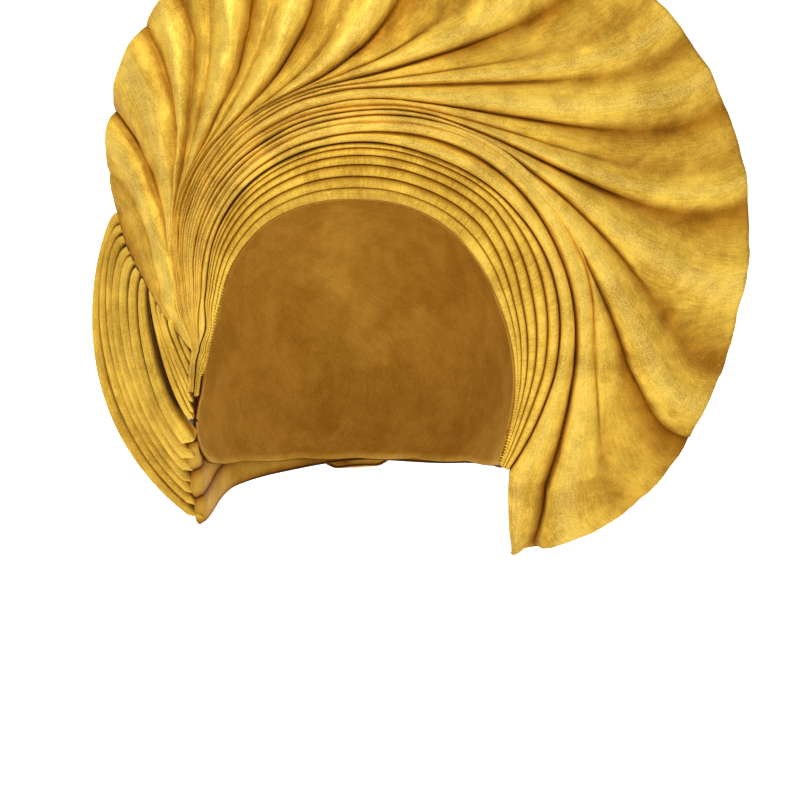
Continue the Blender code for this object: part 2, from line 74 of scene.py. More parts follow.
# Fan, measured from the centre of the head.
FAN_RISE = 0.212
FAN_DROP = 0.090
FAN_LEFT = 0.113
FAN_RIGHT = 0.184
RIM_LEAD = 0.050
RIM_SWEEP = 0.075
BROW_SWELL = 0.012
GATHER_WIDTH = 0.006
SLANT_BOW = 0.005
SWELL_CLOCK = 25.0
SWELL_SPREAD = 0.8
SWELL_EARLY = 0.6
SLANT_HASTE = 1.15

# Folds: how narrow a crease is, and how far the crests lean towards the brow.
CREASE_TIGHTNESS = 2.1
CREASE_SPREAD = 3.0
FOLD_LEAN = 1.7
LAYER_LEAN = 1.3
# How much of the painted crease shade a trough loses where its crease has faded out towards the rim.
TROUGH_SHADE_LIFT = 0.17
SLIT_SHARPNESS = 9
DEEPEST_CREASE = -0.0038

# Where a fold changes, each as a start, or an end, and a length: by its run from the gather (0) to the
# rim (1), by its share of the way from the opening to the rim, or by its width.
EASE_BY_RUN = (0.2, 0.65)
HANG_BY_RUN = (0.0, 0.25)
HANG_ENDS_BY_RUN = (0.62, 0.3)
HANG_BY_WIDTH = (0.004, 0.006)
FADE_BY_SHARE = (0.36, 0.34)
OPEN_BY_SHARE = (0.30, 0.22)
SLIT_BY_WIDTH = (0.0032, 0.006)
SLIT_BY_SHARE = (0.16, 0.12)
SWELL_BY_SHARE = (0.4, 0.35)

# Tail of the fan behind the gather, and the small pockets along its slanting edge.
TAIL_CLOCK = -91.0
TAIL_COLUMNS = 12
POCKETS = 13
POCKET_RISE = 0.0016
BUNDLE_RISE = 0.0012

# Gathers over the cap, from the crown (0) to its edge (1), its weave, and the roll that ends the wrap.
CAP_GATHERS = 46
CAP_START = 0.02
GATHERS_START = (0.0, 0.35)
GATHERS_END = (1.0, 0.1)
GATHER_SWAY = 1.1
CAP_WEAVE = (0.085, 1.9)
WRAP_ROLL_START = 0.955
WRAP_ROLL_RISE = 0.0034

# How the brow band runs on under the fan: share past its top line, and how far down it sinks.
BAND_TUCK = ((0.004, 0.0012), (0.010, 0.0026), (0.022, 0.0030))

# Depth of the band's grooves, the clock angles over which its layers turn round, and the wrap's rise.
BROW_GROOVE = 0.0009
TEMPLE_GROOVE = 0.0024
GROOVE_LIMIT = 0.48
ROUNDED_BY_CLOCK = (25, 30)
WRAP_RISE = 0.0016

# Side pleats: how they start under the fan's slanting edge, lean back and come in to their ends.
CORD_RISE = 0.0022
SIDE_TUCK = 0.0012
SIDE_TOP_SHARE = 0.97
SIDE_TOP_SPREAD = 0.09
SIDE_CLIMB = -1.3
SIDE_CLIMB_EASE = 0.4
SIDE_LEAN = 0.9
SIDE_TOP_DROP = 0.25
SIDE_END_DROP = 0.3

# Side pleats: waves of their sway and its turn from one pleat to the next, where their ends round off
# and over what length, how much fuller they grow low down, and how the hidden ones widen and taper.
SWAY_WAVES = 0.9
SWAY_TURN = 0.37
ROUND_END = 0.97
ROUND_LENGTH = 0.03
GROWTH = 0.12
GROWTH_ALONG = (0.5, 0.35)
UNDER_WIDTH = 1.3
TAPER = 0.9
TAPER_ALONG = (0.78, 0.14)
SINK_ALONG = (0.0, 0.15)
LEAST_GIRTH = 0.0009
GIRTH_SEAT = 0.35

# Weave round a pleat in metres, the fold value of the hem's ribs, high enough that the cloth paints no shade
# on them, and the smallest and largest size of the ribs.
PLEAT_ROUND = 0.014
RIB_SHADE_LEVEL = 0.8
RIB_VARIATION = (0.75, 1.15)

# Knot.
KNOT_WIDTH = 0.046
KNOT_HEIGHT = 0.040
KNOT_DEPTH = 0.015
KNOT_WAIST = 0.75
KNOT_LOBE = 0.12

# Clock angles, in degrees, of the main places round the face.
BAND_START_CLOCK = -92.0
GATHER_CLOCK = -77.0
FAN_START_CLOCK = -74.0
NECK_CLOCK = -60.0
NOTCH_CLOCK = -54.0
EAR_CLOCK = 118.0
CORNER_CLOCK = 136.0

# Numbers of rows and columns.
FAN_COLUMNS = 150
FOLD_ROWS = (7, 26)
FOLD_ROW_SIZE = 0.0030
BAND_COLUMNS = 260
LAYER_ROWS = 8
CORD_STATIONS = 44
CAP_COLUMNS = 128
CAP_ROWS = 56
WRAP_COLUMNS = 120
WRAP_FOLDS = 3
WRAP_ROWS = 12
KNOT_STEPS = 44

# Opening round the face: clock, across and up, as shares of the head's half width and half height.
OPENING = (
    (-92, -0.872, -0.140),
    (-85, -0.850, -0.038),
    (-77, -0.828, 0.055),
    (-62, -0.765, 0.230),
    (-45, -0.675, 0.445),
    (-30, -0.500, 0.610),
    (-15, -0.250, 0.700),
    (0, 0.025, 0.725),
    (15, 0.300, 0.700),
    (30, 0.550, 0.610),
    (45, 0.735, 0.460),
    (60, 0.855, 0.280),
    (75, 0.935, 0.095),
    (90, 0.965, -0.090),
    (105, 0.935, -0.285),
    (118, 0.875, -0.450),
)

# Rim of the fan: clock, across as a share of the left or right reach, up as a share of the rise or
# the drop, and back as a share of the sweep.
RIM = (
    (-54, -0.972, 0.334, 0.56),
    (-47, -1.000, 0.457, 0.56),
    (-40, -0.974, 0.579, 0.53),
    (-30, -0.836, 0.736, 0.37),
    (-20, -0.608, 0.862, 0.21),
    (-10, -0.316, 0.950, 0.08),
    (0, 0.009, 0.992, 0.00),
    (10, 0.221, 0.995, 0.00),
    (20, 0.430, 0.957, 0.05),
    (30, 0.621, 0.876, 0.13),
    (40, 0.784, 0.757, 0.21),
    (50, 0.905, 0.609, 0.31),
    (60, 0.980, 0.442, 0.40),
    (70, 0.996, 0.268, 0.48),
    (80, 0.970, 0.103, 0.56),
    (90, 0.921, -0.106, 0.63),
    (100, 0.848, -0.410, 0.68),
    (110, 0.754, -0.664, 0.75),
    (120, 0.634, -0.849, 0.83),
    (130, 0.496, -0.951, 0.93),
    (136, 0.424, -0.998, 1.00),
)

# Top line of the brow band: clock, and the share of the way from the opening to the rim.
BAND_TOP = (
    (-92, 0.30),
    (-77, 0.30),
    (-74, 0.16),
    (-60, 0.11),
    (-40, 0.14),
    (-20, 0.16),
    (0, 0.17),
    (20, 0.163),
    (40, 0.18),
    (60, 0.20),
    (80, 0.185),
    (100, 0.135),
    (118, 0.07),
    (126, 0.02),
    (136, 0.0),
)

# Grooves between the layers of the brow band: shares of the band's width over the brow, and by the
# temple, the cheek and the ear on the +X side, where the layers run off the edge one after another.
GROOVES = (
    # brow, temple, cheek, ear
    (0.18, 0.12, 0.07, 0.03),
    (0.38, 0.22, 0.14, 0.08),
    (0.59, 0.36, 0.27, 0.16),
    (0.76, 0.56, 0.46, 0.30),
    (0.90, 0.79, 0.70, 0.52),
)
GROOVE_CLOCKS = (38.0, 62.0, 84.0, 108.0)

# Valleys of the fan, from the brow outwards, and last its slanting edge. Shares run from the opening to
# the rim: at the gather, at the neck beside it, and at the knee where the valley turns up towards the
# rim, which it leaves at the exit clock. The turn is a rounder or squarer arc, the crease is shallow or
# deep, and the folds beside it rise by a share of their width.
VALLEYS = (
    # gather, neck, knee clock, knee share, exit clock, squareness, crease depth, rise per width
    (0.21, 0.150, 80, 0.268, 132, 2.7, 1.00, 0.34),
    (0.23, 0.160, 70, 0.330, 114, 2.2, 0.45, 0.34),
    (0.25, 0.175, 25, 0.250, 99, 2.2, 0.90, 0.42),
    (0.27, 0.200, 22, 0.268, 86, 1.9, 0.82, 0.36),
    (0.28, 0.220, 15, 0.278, 65, 2.2, 1.00, 0.46),
    (0.30, 0.245, 12, 0.292, 59, 2.1, 0.50, 0.30),
    (0.32, 0.265, 8, 0.307, 53, 2.05, 0.95, 0.36),
    (0.34, 0.285, 0, 0.340, 44, 2.0, 0.80, 0.34),
    (0.36, 0.300, -5, 0.350, 37, 2.1, 0.45, 0.30),
    (0.38, 0.315, -10, 0.358, 30, 2.1, 1.00, 0.38),
    (0.39, 0.323, -14, 0.360, 20, 2.2, 0.50, 0.32),
    (0.40, 0.330, -18, 0.362, 9, 2.5, 1.00, 0.36),
    (0.42, 0.343, -22, 0.370, 2, 2.4, 0.45, 0.28),
    (0.44, 0.355, -32, 0.380, -4, 2.6, 1.00, 0.36),
    (0.46, 0.368, -36, 0.392, -8.5, 2.2, 0.40, 0.28),
    (0.48, 0.380, -42, 0.395, -14, 2.5, 1.00, 0.36),
    (0.50, 0.390, -50, 0.398, -20, 2.4, 0.45, 0.28),
    (0.53, 0.402, -56, 0.404, -24, 2.5, 0.90, 0.34),
    (0.56, 0.415, -58, 0.415, -30, 2.8, 0.85, 0.30),
    (0.62, 0.435, -60, 0.435, -41.5, 2.4, 1.00, 0.34),
    (0.90, 0.690, -58, 0.660, -49, 3.0, 0.40, 0.20),
    (1.00, 1.000, -55, 1.000, -54, 2.0, 1.00, 0.12),
)

# Ends of the side pleats beside the face, from the outermost pleat (0) to the innermost (1): across,
# back and up as shares of the head's half sizes.
SIDE_ENDS = (
    (0.00, -0.890, 0.150, -0.725),
    (0.20, -0.910, 0.000, -0.556),
    (0.44, -0.900, -0.300, -0.343),
    (0.50, -0.895, -0.370, -0.270),
    (0.66, -0.890, -0.420, -0.198),
    (0.85, -0.890, -0.455, -0.090),
    (1.00, -0.885, -0.470, 0.040),
)

# Pulls that bow the side pleats, as shares of each pleat's length: across and up at its top under the
# fan, and across and up at its end beside the face.
SIDE_PULLS = (
    (0.00, -0.046, 0.156, 0.578, -0.403),
    (0.14, -0.124, 0.229, 0.498, -0.420),
    (0.28, -0.140, 0.262, 0.470, -0.480),
    (0.42, -0.181, 0.290, 0.378, -0.420),
    (0.50, -0.235, 0.370, 0.256, -0.270),
    (0.67, -0.405, 0.428, 0.159, -0.371),
    (0.85, -0.560, 0.378, 0.150, -0.450),
    (1.00, -0.600, 0.300, 0.120, -0.300),
)

# Bundles of the side pleats: node, first and last place across them, how many pleats, and flat size.
SIDE_BUNDLES = (
    ("side_pleats_outer", 0.000, 0.485, 7, (0.140, 0.150)),
    ("side_pleats_middle", 0.515, 0.655, 2, (0.025, 0.065)),
    ("side_pleats_inner", 0.685, 1.000, 4, (0.034, 0.048)),
)

# Places of the pleats that lie hidden behind the slits.
UNDER_PLEATS = (0.42, 0.50, 0.67)

# Lower edge of the cap behind the ears and round the nape: across, back and up, as shares.
NAPE = (
    (0.87, 0.15, -0.47),
    (0.70, 0.55, -0.46),
    (0.36, 0.81, -0.45),
    (0.00, 0.89, -0.45),
    (-0.36, 0.81, -0.45),
    (-0.70, 0.55, -0.46),
    (-0.88, 0.10, -0.45),
    (-0.92, -0.22, -0.30),
)

# Edges of the nape wrap, from behind the ear on the +X side (0) to the ends of the side pleats (1), as
# shares of the head's half sizes: its lower edge, then its upper edge.
WRAP_EDGES = (
    # place, lower across, back, up, upper across, back, up
    (0.00, 0.870, 0.150, -0.470, 0.960, 0.180, -0.150),
    (0.25, 0.690, 0.570, -0.460, 0.770, 0.620, -0.110),
    (0.50, 0.000, 0.890, -0.450, 0.000, 0.990, -0.100),
    (0.75, -0.700, 0.600, -0.560, -0.790, 0.570, -0.170),
    (1.00, -0.890, 0.150, -0.725, -0.900, -0.300, -0.343),
)

# Way that the gathered cloth is stacked, out from the head at the left temple.
GATHER_WAY = np.array([-0.80, 0.55, 0.20])

# Way that the fan's slanting edge bows between the gather and the notch.
SLANT_BOW_WAY = np.array([-0.85, 0.0, -0.53])

# Thin creases between the main valleys: a line of clock angles and shares, its depth and half its width.
FINE_CREASES = (
    (((-15, 0.56), (-12.5, 0.63), (-10.5, 0.72)), 0.0016, 0.0016),
    (((10, 0.57), (15, 0.645), (17, 0.72)), 0.0014, 0.0016),
    (((-8, 0.42), (-3, 0.53), (0, 0.62), (2, 0.85)), 0.0012, 0.0018),
    (((37, 0.36), (42, 0.45), (45, 0.55)), 0.0016, 0.0020),
    (((60, 0.475), (70, 0.57), (80, 0.72), (84, 0.85)), 0.0018, 0.0026),
    (((90, 0.43), (100, 0.52), (105, 0.60), (108, 0.70), (112, 0.90)), 0.0018, 0.0028),
    (((-39, 0.50), (-36, 0.55), (-34, 0.60)), 0.0034, 0.0030),
    (((-44, 0.66), (-43, 0.80), (-44, 0.94)), 0.0014, 0.0026),
    (((-60, 0.80), (-59, 0.90), (-60, 0.97)), 0.0016, 0.0024),
    (((48, 0.70), (52, 0.82), (55, 0.94)), 0.0012, 0.0026),
    (((74, 0.62), (86, 0.74), (92, 0.88)), 0.0014, 0.0030),
    (((24, 0.62), (29, 0.78), (33, 0.92)), 0.0010, 0.0024),
    (((-24, 0.66), (-25, 0.80), (-26, 0.93)), 0.0012, 0.0024),
    (((118, 0.52), (121, 0.66), (124, 0.84)), 0.0016, 0.0030),
)

# How far each line of the fan, from its lowest one outwards, has turned from a crease into a soft
# trough by the time it reaches the rim.
CREASE_FADES = (
    1.0, 0.5, 1.0, 0.35, 1.0, 0.95, 1.0, 0.9, 1.0, 0.95, 0.8, 0.95,
    0.7, 0.9, 0.45, 0.8, 0.35, 0.8, 0.6, 0.5, 0.2, 0.5, 0.0,
)

# Names of the cloths that have been woven, by their slots.
MADE = {}


def through(rows):
    """A smooth curve through a table: the first column is where, the others are the values there."""
    knots = np.array([row[0] for row in rows], float)
    values = np.array([row[1:] for row in rows], float)
    slopes = np.gradient(values, knots, axis=0)

    def at(where):
        where = np.clip(np.asarray(where, float), knots[0], knots[-1])
        index = np.clip(np.searchsorted(knots, where, side="right") - 1, 0, len(knots) - 2)
        span = (knots[index + 1] - knots[index])[..., None]
        u = (where - knots[index])[..., None] / span
        start = (1 + 2 * u) * (1 - u) ** 2 * values[index] + u * (1 - u) ** 2 * span * slopes[index]
        end = u * u * (3 - 2 * u) * values[index + 1] + u * u * (u - 1) * span * slopes[index + 1]
        return start + end

    return at


OPENING_AT = through(OPENING)
RIM_AT = through(RIM)
BAND_TOP_AT = through(BAND_TOP)
SIDE_ENDS_AT = through(SIDE_ENDS)
SIDE_PULLS_AT = through(SIDE_PULLS)
WRAP_EDGES_AT = through(WRAP_EDGES)


def between(first, second, share):
    """A value part of the way from one to another."""
    return first + (second - first) * share


def smooth_step(value):
    """0 to 1 with soft ends."""
    value = np.clip(value, 0, 1)
    return value * value * (3 - 2 * value)


def growing(value, start, length):
    """0 up to a start, then softly up to 1 over a length."""
    return smooth_step((value - start) / length)


def fading(value, end, length):
    """1 until a length before an end, then softly down to 0 there."""
    return smooth_step((end - value) / length)


def head_axes(outside):
    """Half sizes of the head's egg, a distance outside it."""
    return np.array([HEAD_HALF_WIDTH, HEAD_HALF_LENGTH, HEAD_HALF_HEIGHT]) + outside


def on_head(shares, outside):
    """Points from shares of the head's half sizes, a distance outside the head."""
    return shares * head_axes(outside) + HEAD_CENTRE


def opening_shares(clock):
    """Unit shares of the opening's edge, which lies on the head."""
    flat = OPENING_AT(clock)
    across, up = flat[..., 0], flat[..., 1]
    back = -np.sqrt(np.maximum(1 - across**2 - up**2, 0.0))
    return np.stack([across, back, up], axis=-1)


def rim_table_point(clock):
    """A point of the rim from its table."""
    across, up, back = np.moveaxis(RIM_AT(clock), -1, 0)
    x = across * np.where(across < 0, FAN_LEFT, FAN_RIGHT)
    z = up * np.where(up < 0, FAN_DROP, FAN_RISE) - HEAD_HALF_HEIGHT
    return np.stack([x, RIM_SWEEP * back - RIM_LEAD, z], axis=-1)


def opening_point(clock):
    """The fan's inner edge: on the cap round the face, then a free edge down to the lower corner."""
    clock = np.asarray(clock, float)
    seat = on_head(opening_shares(np.minimum(clock, EAR_CLOCK)), ON_CAP)
    past_ear = np.clip((clock - EAR_CLOCK) / (CORNER_CLOCK - EAR_CLOCK), 0, 1)[..., None]
    return between(seat, rim_table_point(CORNER_CLOCK), past_ear)


def rim_point(clock):
    """The fan's outer edge: a slanting edge from the gather to the notch, then the ruffled rim."""
    clock = np.asarray(clock, float)
    gather = opening_point(np.minimum(clock, GATHER_CLOCK)) + GATHER_WIDTH * GATHER_WAY
    climb = np.clip((clock - GATHER_CLOCK) / (NOTCH_CLOCK - GATHER_CLOCK), 0, 1) ** SLANT_HASTE
    slant = between(gather, rim_table_point(NOTCH_CLOCK), climb[..., None])
    slant = slant + SLANT_BOW * (4 * climb * (1 - climb))[..., None] * SLANT_BOW_WAY
    return np.where((clock < NOTCH_CLOCK)[..., None], slant, rim_table_point(clock))


def fan_base(clock, share):
    """The smooth back of the fan, under its folds."""
    clock = np.asarray(clock, float)
    share = np.asarray(share, float)
    point = between(opening_point(clock), rim_point(clock), share[..., None])
    swell = np.maximum(np.cos(np.radians(SWELL_SPREAD * (clock - SWELL_CLOCK))), 0.0)
    early = np.clip(share, 0, 1) ** SWELL_EARLY
    point[..., 1] -= BROW_SWELL * swell * 4 * early * (1 - early)
    return point


def unit(vectors):
    """Vectors made one long."""
    return vectors / np.linalg.norm(vectors, axis=-1, keepdims=True)


def facing(along, across):
    """Unit normals of a surface, turned to the front."""
    normal = unit(np.cross(along, across))
    return normal * np.where(normal[..., 1] > 0, -1.0, 1.0)[..., None]


def fan_normal(clock, share):
    """Which way the fan's smooth surface faces."""
    around = fan_base(clock + 0.5, share) - fan_base(clock - 0.5, share)
    inside = np.clip(share - 0.01, 0.005, 0.98)
    return facing(around, fan_base(clock, inside + 0.01) - fan_base(clock, inside))


def fold_way(clock, share):
    """Which way folds rise: off the surface, and at the rim only forwards, to keep the outline smooth."""
    normal = fan_normal(clock, share)
    outwards = fan_base(clock, share) - HEAD_CENTRE
    outwards[..., 1] = 0.0
    outwards = unit(outwards)
    lean = np.sum(normal * outwards, axis=-1, keepdims=True)
    return normal - outwards * lean * (np.clip(share, 0, 1) ** 2)[..., None]


def spaced(path_clock, path_share, steps):
    """Even steps along a path on the fan, as clock angles and shares."""
    points = fan_base(path_clock, path_share)
    lengths = np.linalg.norm(np.diff(points, axis=0), axis=1)
    travelled = np.concatenate([[0.0], np.cumsum(lengths)])
    stops = np.linspace(0, travelled[-1], steps + 1)
    return np.interp(stops, travelled, path_clock), np.interp(stops, travelled, path_share)


def valley_path(row, steps):
    """One valley of the fan, from the gather to the rim."""
    gather, neck, knee_clock, knee, exit_clock, square = row[:6]
    neck_clock = min(NECK_CLOCK, knee_clock)
    clocks = [np.linspace(FAN_START_CLOCK, neck_clock, 12)]
    shares = [np.linspace(gather, neck, 12)]
    clocks.append(np.linspace(neck_clock, knee_clock, 30))
    shares.append(np.linspace(neck, knee, 30))
    turn = np.linspace(0, math.pi / 2, 90)
    clocks.append(knee_clock + (exit_clock - knee_clock) * np.sin(turn) ** (2 / square))
    shares.append(knee + (1 - knee) * (1 - np.clip(np.cos(turn), 0, 1) ** (2 / square)))
    return spaced(np.concatenate(clocks), np.concatenate(shares), steps)


def band_top_path(steps):
    """The fan's lowest line, along the top of the brow band and down to the lower corner."""
    clock = np.linspace(FAN_START_CLOCK, CORNER_CLOCK, 200)
    return spaced(clock, BAND_TOP_AT(clock)[..., 0], steps)


def groove_shares(clock):
    """Where the band's grooves lie at each clock angle, as shares of its width."""
    return np.array([np.interp(clock, GROOVE_CLOCKS, row) for row in GROOVES])


def clear_of_head(points):
    """Points moved straight out of the head until they clear the cap."""
    offset = points - HEAD_CENTRE
    level = np.linalg.norm(offset / head_axes(ON_CAP), axis=-1, keepdims=True)
    return HEAD_CENTRE + offset / np.minimum(level, 1.0)


def side_base(place, along):
    """The smooth back of the side pleats: place goes across them, along runs from top to end."""
    place = np.asarray(place, float)
    climb = 1 + SIDE_CLIMB * place + SIDE_CLIMB_EASE * place**2
    clock = GATHER_CLOCK + (NOTCH_CLOCK - GATHER_CLOCK) * climb ** (1 / SLANT_HASTE)
    under = SIDE_TOP_SHARE - SIDE_TOP_SPREAD * np.sqrt(place)
    behind = SIDE_TUCK + FIT_GAP + SIDE_WALL + CORD_RISE
    top = fan_base(clock, under) - fan_normal(clock, under) * behind
    end = on_head(SIDE_ENDS_AT(place), ON_CAP)
    length = np.linalg.norm(end - top, axis=-1)
    pulls = SIDE_PULLS_AT(place) * length[..., None]
    drop = end[..., 1] - top[..., 1]
    back = top[..., 1] + SIDE_TOP_DROP * drop + SIDE_LEAN * pulls[..., 1]
    after_top = np.stack([top[..., 0] + pulls[..., 0], back, top[..., 2] + pulls[..., 1]], -1)
    front = end[..., 1] - SIDE_END_DROP * drop
    before_end = np.stack([end[..., 0] - pulls[..., 2], front, end[..., 2] - pulls[..., 3]], -1)
    s = np.asarray(along, float)[..., None]
    point = (1 - s) ** 3 * top + 3 * s * (1 - s) ** 2 * after_top
    point = point + 3 * s * s * (1 - s) * before_end + s**3 * end
    return clear_of_head(point)


def turned(start, end, share):
    """Unit vectors part of the way round the arc between two unit vectors."""
    angle = np.arccos(np.clip(np.sum(start * end, axis=-1), -1, 1))[..., None]
    return (np.sin((1 - share) * angle) * start + np.sin(share * angle) * end) / np.sin(angle)


def edge_loop(count):
    """Unit shares round the whole lower edge of the cap, starting at the left gather."""
    front = opening_shares(np.linspace(BAND_START_CLOCK, EAR_CLOCK, 60))
    loop = np.vstack([front, np.array(NAPE), front[:1]])
    loop = unit(loop)
    lengths = np.linalg.norm(np.diff(loop, axis=0), axis=1)
    travelled = np.concatenate([[0.0], np.cumsum(lengths)])
    stops = np.linspace(0, travelled[-1], count, endpoint=False)
    return unit(np.stack([np.interp(stops, travelled, loop[:, i]) for i in range(3)], axis=1))


def wrap_point(place, climb, outside):
    """Points of the nape wrap: place goes round the nape, climb from its lower to its upper edge."""
    edges = WRAP_EDGES_AT(place)
    shares = between(edges[..., :3], edges[..., 3:], climb)
    shares = shares / np.minimum(np.linalg.norm(shares, axis=-1, keepdims=True), 1.0)
    return on_head(shares, ON_CAP + outside)


# Cloth mesh helpers


def arc_lengths(points, axis):
    """Distances travelled along an axis of a grid of points."""
    steps = np.linalg.norm(np.diff(points, axis=axis), axis=-1)
    start = np.zeros_like(np.take(steps, [0], axis=axis))
    return np.concatenate([start, np.cumsum(steps, axis=axis)], axis=axis)


def wrinkles(across, along, seed):
    """Soft creases of stiff cloth, about -1 to 1, from distances across and along it in metres."""
    flat = np.zeros(across.size)
    for i, (u, v) in enumerate(zip(across.ravel(), along.ravel())):
        flat[i] = noise.fractal(Vector((u, v, seed)), 0.9, 2.1, 3, noise_basis="PERLIN_ORIGINAL")
    return flat.reshape(across.shape)


def grid_quads(rows, columns, start=0, close_round=False):
    """Corner numbers of the faces of a grid of points."""
    row = np.arange(rows if close_round else rows - 1)
    near, column = np.meshgrid(row, np.arange(columns - 1), indexing="ij")
    far = (near + 1) % rows
    corners = [near * columns + column, near * columns + column + 1]
    corners += [far * columns + column + 1, far * columns + column]
    return (np.stack(corners, axis=-1) + start).reshape(-1, 4)


def grid_border(rows, columns):
    """Corner numbers round the edge of a grid of points, in order."""
    first = np.arange(columns)
    last = (rows - 1) * columns + np.arange(columns)
    right = np.arange(1, rows - 1) * columns + columns - 1
    left = np.arange(rows - 2, 0, -1) * columns
    return np.concatenate([first, right, last[::-1], left])


def finish_mesh(name, points, faces, weave, fold):
    """A smooth mesh with a weave map in metres, and how deep each point lies in its fold, which the cloth
    uses as the mask of its painted shade and painted highlight.
    """
    mesh = bpy.data.meshes.new(name)
    mesh.from_pydata(points.tolist(), [], faces.tolist())
    mesh.shade_smooth()
    corners = np.empty(len(mesh.loops), int)
    mesh.loops.foreach_get("vertex_index", corners)
    layer = mesh.uv_layers.new(name="weave")
    layer.uv.foreach_set("vector", weave[corners].astype(np.float32).ravel())
    depth = mesh.attributes.new("fold", "FLOAT", "POINT")
    depth.data.foreach_set("value", fold.astype(np.float32))
    shape = bmesh.new()
    shape.from_mesh(mesh)
    bmesh.ops.recalc_face_normals(shape, faces=shape.faces)
    shape.to_mesh(mesh)
    shape.free()
    made = bpy.data.objects.new(name, mesh)
    bpy.context.scene.collection.objects.link(made)
    return made


def walled_sheet(name, back, front, weave, fold):
    """A closed cloth wall between a back grid and a front grid."""
    rows, columns = front.shape[:2]
    count = rows * columns
    edge = grid_border(rows, columns)
    after = np.roll(edge, -1)
    hem = np.stack([edge, after, after + count, edge + count], axis=-1)
    faces = np.vstack([grid_quads(rows, columns), grid_quads(rows, columns, count)[:, ::-1], hem])
    points = np.vstack([front.reshape(-1, 3), back.reshape(-1, 3)])
    weave = np.tile(weave.reshape(-1, 2), (2, 1))
    return finish_mesh(name, points, faces, weave, np.tile(fold.ravel(), 2))


def finish_piece(piece, node, material):
    """Gives a piece its cloth, and puts it in the place of its frame node."""
    piece.data.materials.clear()
    piece.data.materials.append(material)
    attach(piece, "root")
    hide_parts(node)


# Fan


def fan_run():
    """How far along the fan each column lies, 0 at the gather and 1 at the rim."""
    return np.concatenate([np.zeros(TAIL_COLUMNS), np.linspace(0, 1, FAN_COLUMNS + 1)])


def fan_surface(settings):
    """Rows across the fan's folds, columns from the gather to the rim: where each point lies on the smooth
    fan, how high it stands off it, its weave and its depth in the fold, the mask of the cloth's painted
    shade."""
    paths = [band_top_path(FAN_COLUMNS)] + [valley_path(row, FAN_COLUMNS) for row in VALLEYS]
    clocks = np.array([path[0] for path in paths])
    shares = np.array([path[1] for path in paths])
    tail = np.linspace(TAIL_CLOCK, FAN_START_CLOCK, TAIL_COLUMNS, endpoint=False)
    across = (shares[:, :1] - shares[0, 0]) / (1 - shares[0, 0])
    tail_top = BAND_TOP_AT(tail)[..., 0] + 0.02
    clocks = np.hstack([tail + 0 * across, clocks])
    shares = np.hstack([tail_top + (1 - tail_top) * across, shares])
    depths = np.array([1.0] + [row[6] for row in VALLEYS])
    rises = np.array([VALLEYS[0][7]] + [row[7] for row in VALLEYS])
    bases = fan_base(clocks, shares)
    widths = np.linalg.norm(np.diff(bases, axis=0), axis=2)
    mean = np.concatenate([widths[:1], (widths[1:] + widths[:-1]) / 2, widths[-1:]])
    full = np.interp(np.arange(len(rises)), (16, 21), (settings.fullness, 1.0)) * rises
    full = full[:, None] * mean
    height = settings.fold_rise * np.tanh(full / settings.fold_rise)
    run = fan_run()
    along = arc_lengths(bases, 1)
    ease = settings.rim_ease * np.interp(clocks[:, -1], (-28, 8), (0.3, 1.0))
    soften = 1 - ease[:, None] * growing(run, *EASE_BY_RUN)
    rows = []
    for k in range(len(paths) - 1):
        count = int(np.clip(round(widths[k].max() / FOLD_ROW_SIZE), *FOLD_ROWS))
        tuck = settings.overhang * depths[k] * growing(run, *HANG_BY_RUN) * fading(run, *HANG_ENDS_BY_RUN)
        tuck = tuck * growing(widths[k], *HANG_BY_WIDTH)
        fades = np.array(CREASE_FADES[k : k + 2])[:, None] * growing(shares[k : k + 2], *FADE_BY_SHARE)
        trough = depths[k] < depths[k + 1] - 0.2
        for turn in np.linspace(0, 1, count + 1)[: count + (k == len(paths) - 2)]:
            fade = between(fades[0], fades[1], turn)
            phase = turn ** (1 + (FOLD_LEAN - 1) * (1 - fade)) - tuck * turn * (1 - turn) ** 3
            clock, share, rise = [between(line[k], line[k + 1], phase) for line in (clocks, shares, height)]
            depth = between(depths[k], depths[k + 1], turn)
            tight = CREASE_TIGHTNESS + CREASE_SPREAD * (1 - depth)
            crisp = 1 - abs(2 * turn - 1) ** tight
            round_top = 0.5 - 0.5 * math.cos(2 * math.pi * turn)
            crest = between(crisp, round_top, fade)
            open_out = growing(share, *OPEN_BY_SHARE)
            level = (1 - depth) * (1 - (1 - settings.crease_level) * open_out)
            swell = (1 - level) * (1 - (1 - settings.trough_level) * open_out * trough)
            stand = level + swell * crest
            slit = settings.slit_depth * depth * (1 - fade) * abs(2 * turn - 1) ** SLIT_SHARPNESS
            slit = slit * growing(widths[k], *SLIT_BY_WIDTH) * growing(share, *SLIT_BY_SHARE)
            lift = rise * stand * between(soften[k], soften[k + 1], turn) - slit
            u = 0.31 * k + (turn**FOLD_LEAN - 0.5) * widths[k]
            v = between(along[k], along[k + 1], turn)
            # The last value is the fold value: the cloth paints shade where it is low and a highlight where
            # it is highest.
            rows.append((clock, share, lift, u, v, stand + (1 - stand) * TROUGH_SHADE_LIFT * fade))
    return [np.array(column) for column in zip(*rows)]


def crease_marks(points, crease_points, depth, width):
    """A thin crease pressed into the cloth along a line, with a low lip on each side."""
    near = np.full(points.shape[:2], 1.0)
    where = np.zeros(points.shape[:2])
    for i, spot in enumerate(crease_points):
        away = np.linalg.norm(points - spot, axis=-1)
        where = np.where(away < near, i / (len(crease_points) - 1), where)
        near = np.minimum(near, away)
    ease = smooth_step(where / 0.25) * smooth_step((1 - where) / 0.3) * 0.85 + 0.15
    across = near / width
    return -depth * ease * (1 - 0.55 * across**2) * np.exp(-0.5 * across**2)


def line_on_fan(line, steps):
    """Points of the smooth fan along a line of clock angles and shares."""
    knots = np.array(line, float)
    where = np.linspace(0, len(knots) - 1, steps)
    clock = np.interp(where, np.arange(len(knots)), knots[:, 0])
    share = np.interp(where, np.arange(len(knots)), knots[:, 1])
    return fan_base(clock, share)


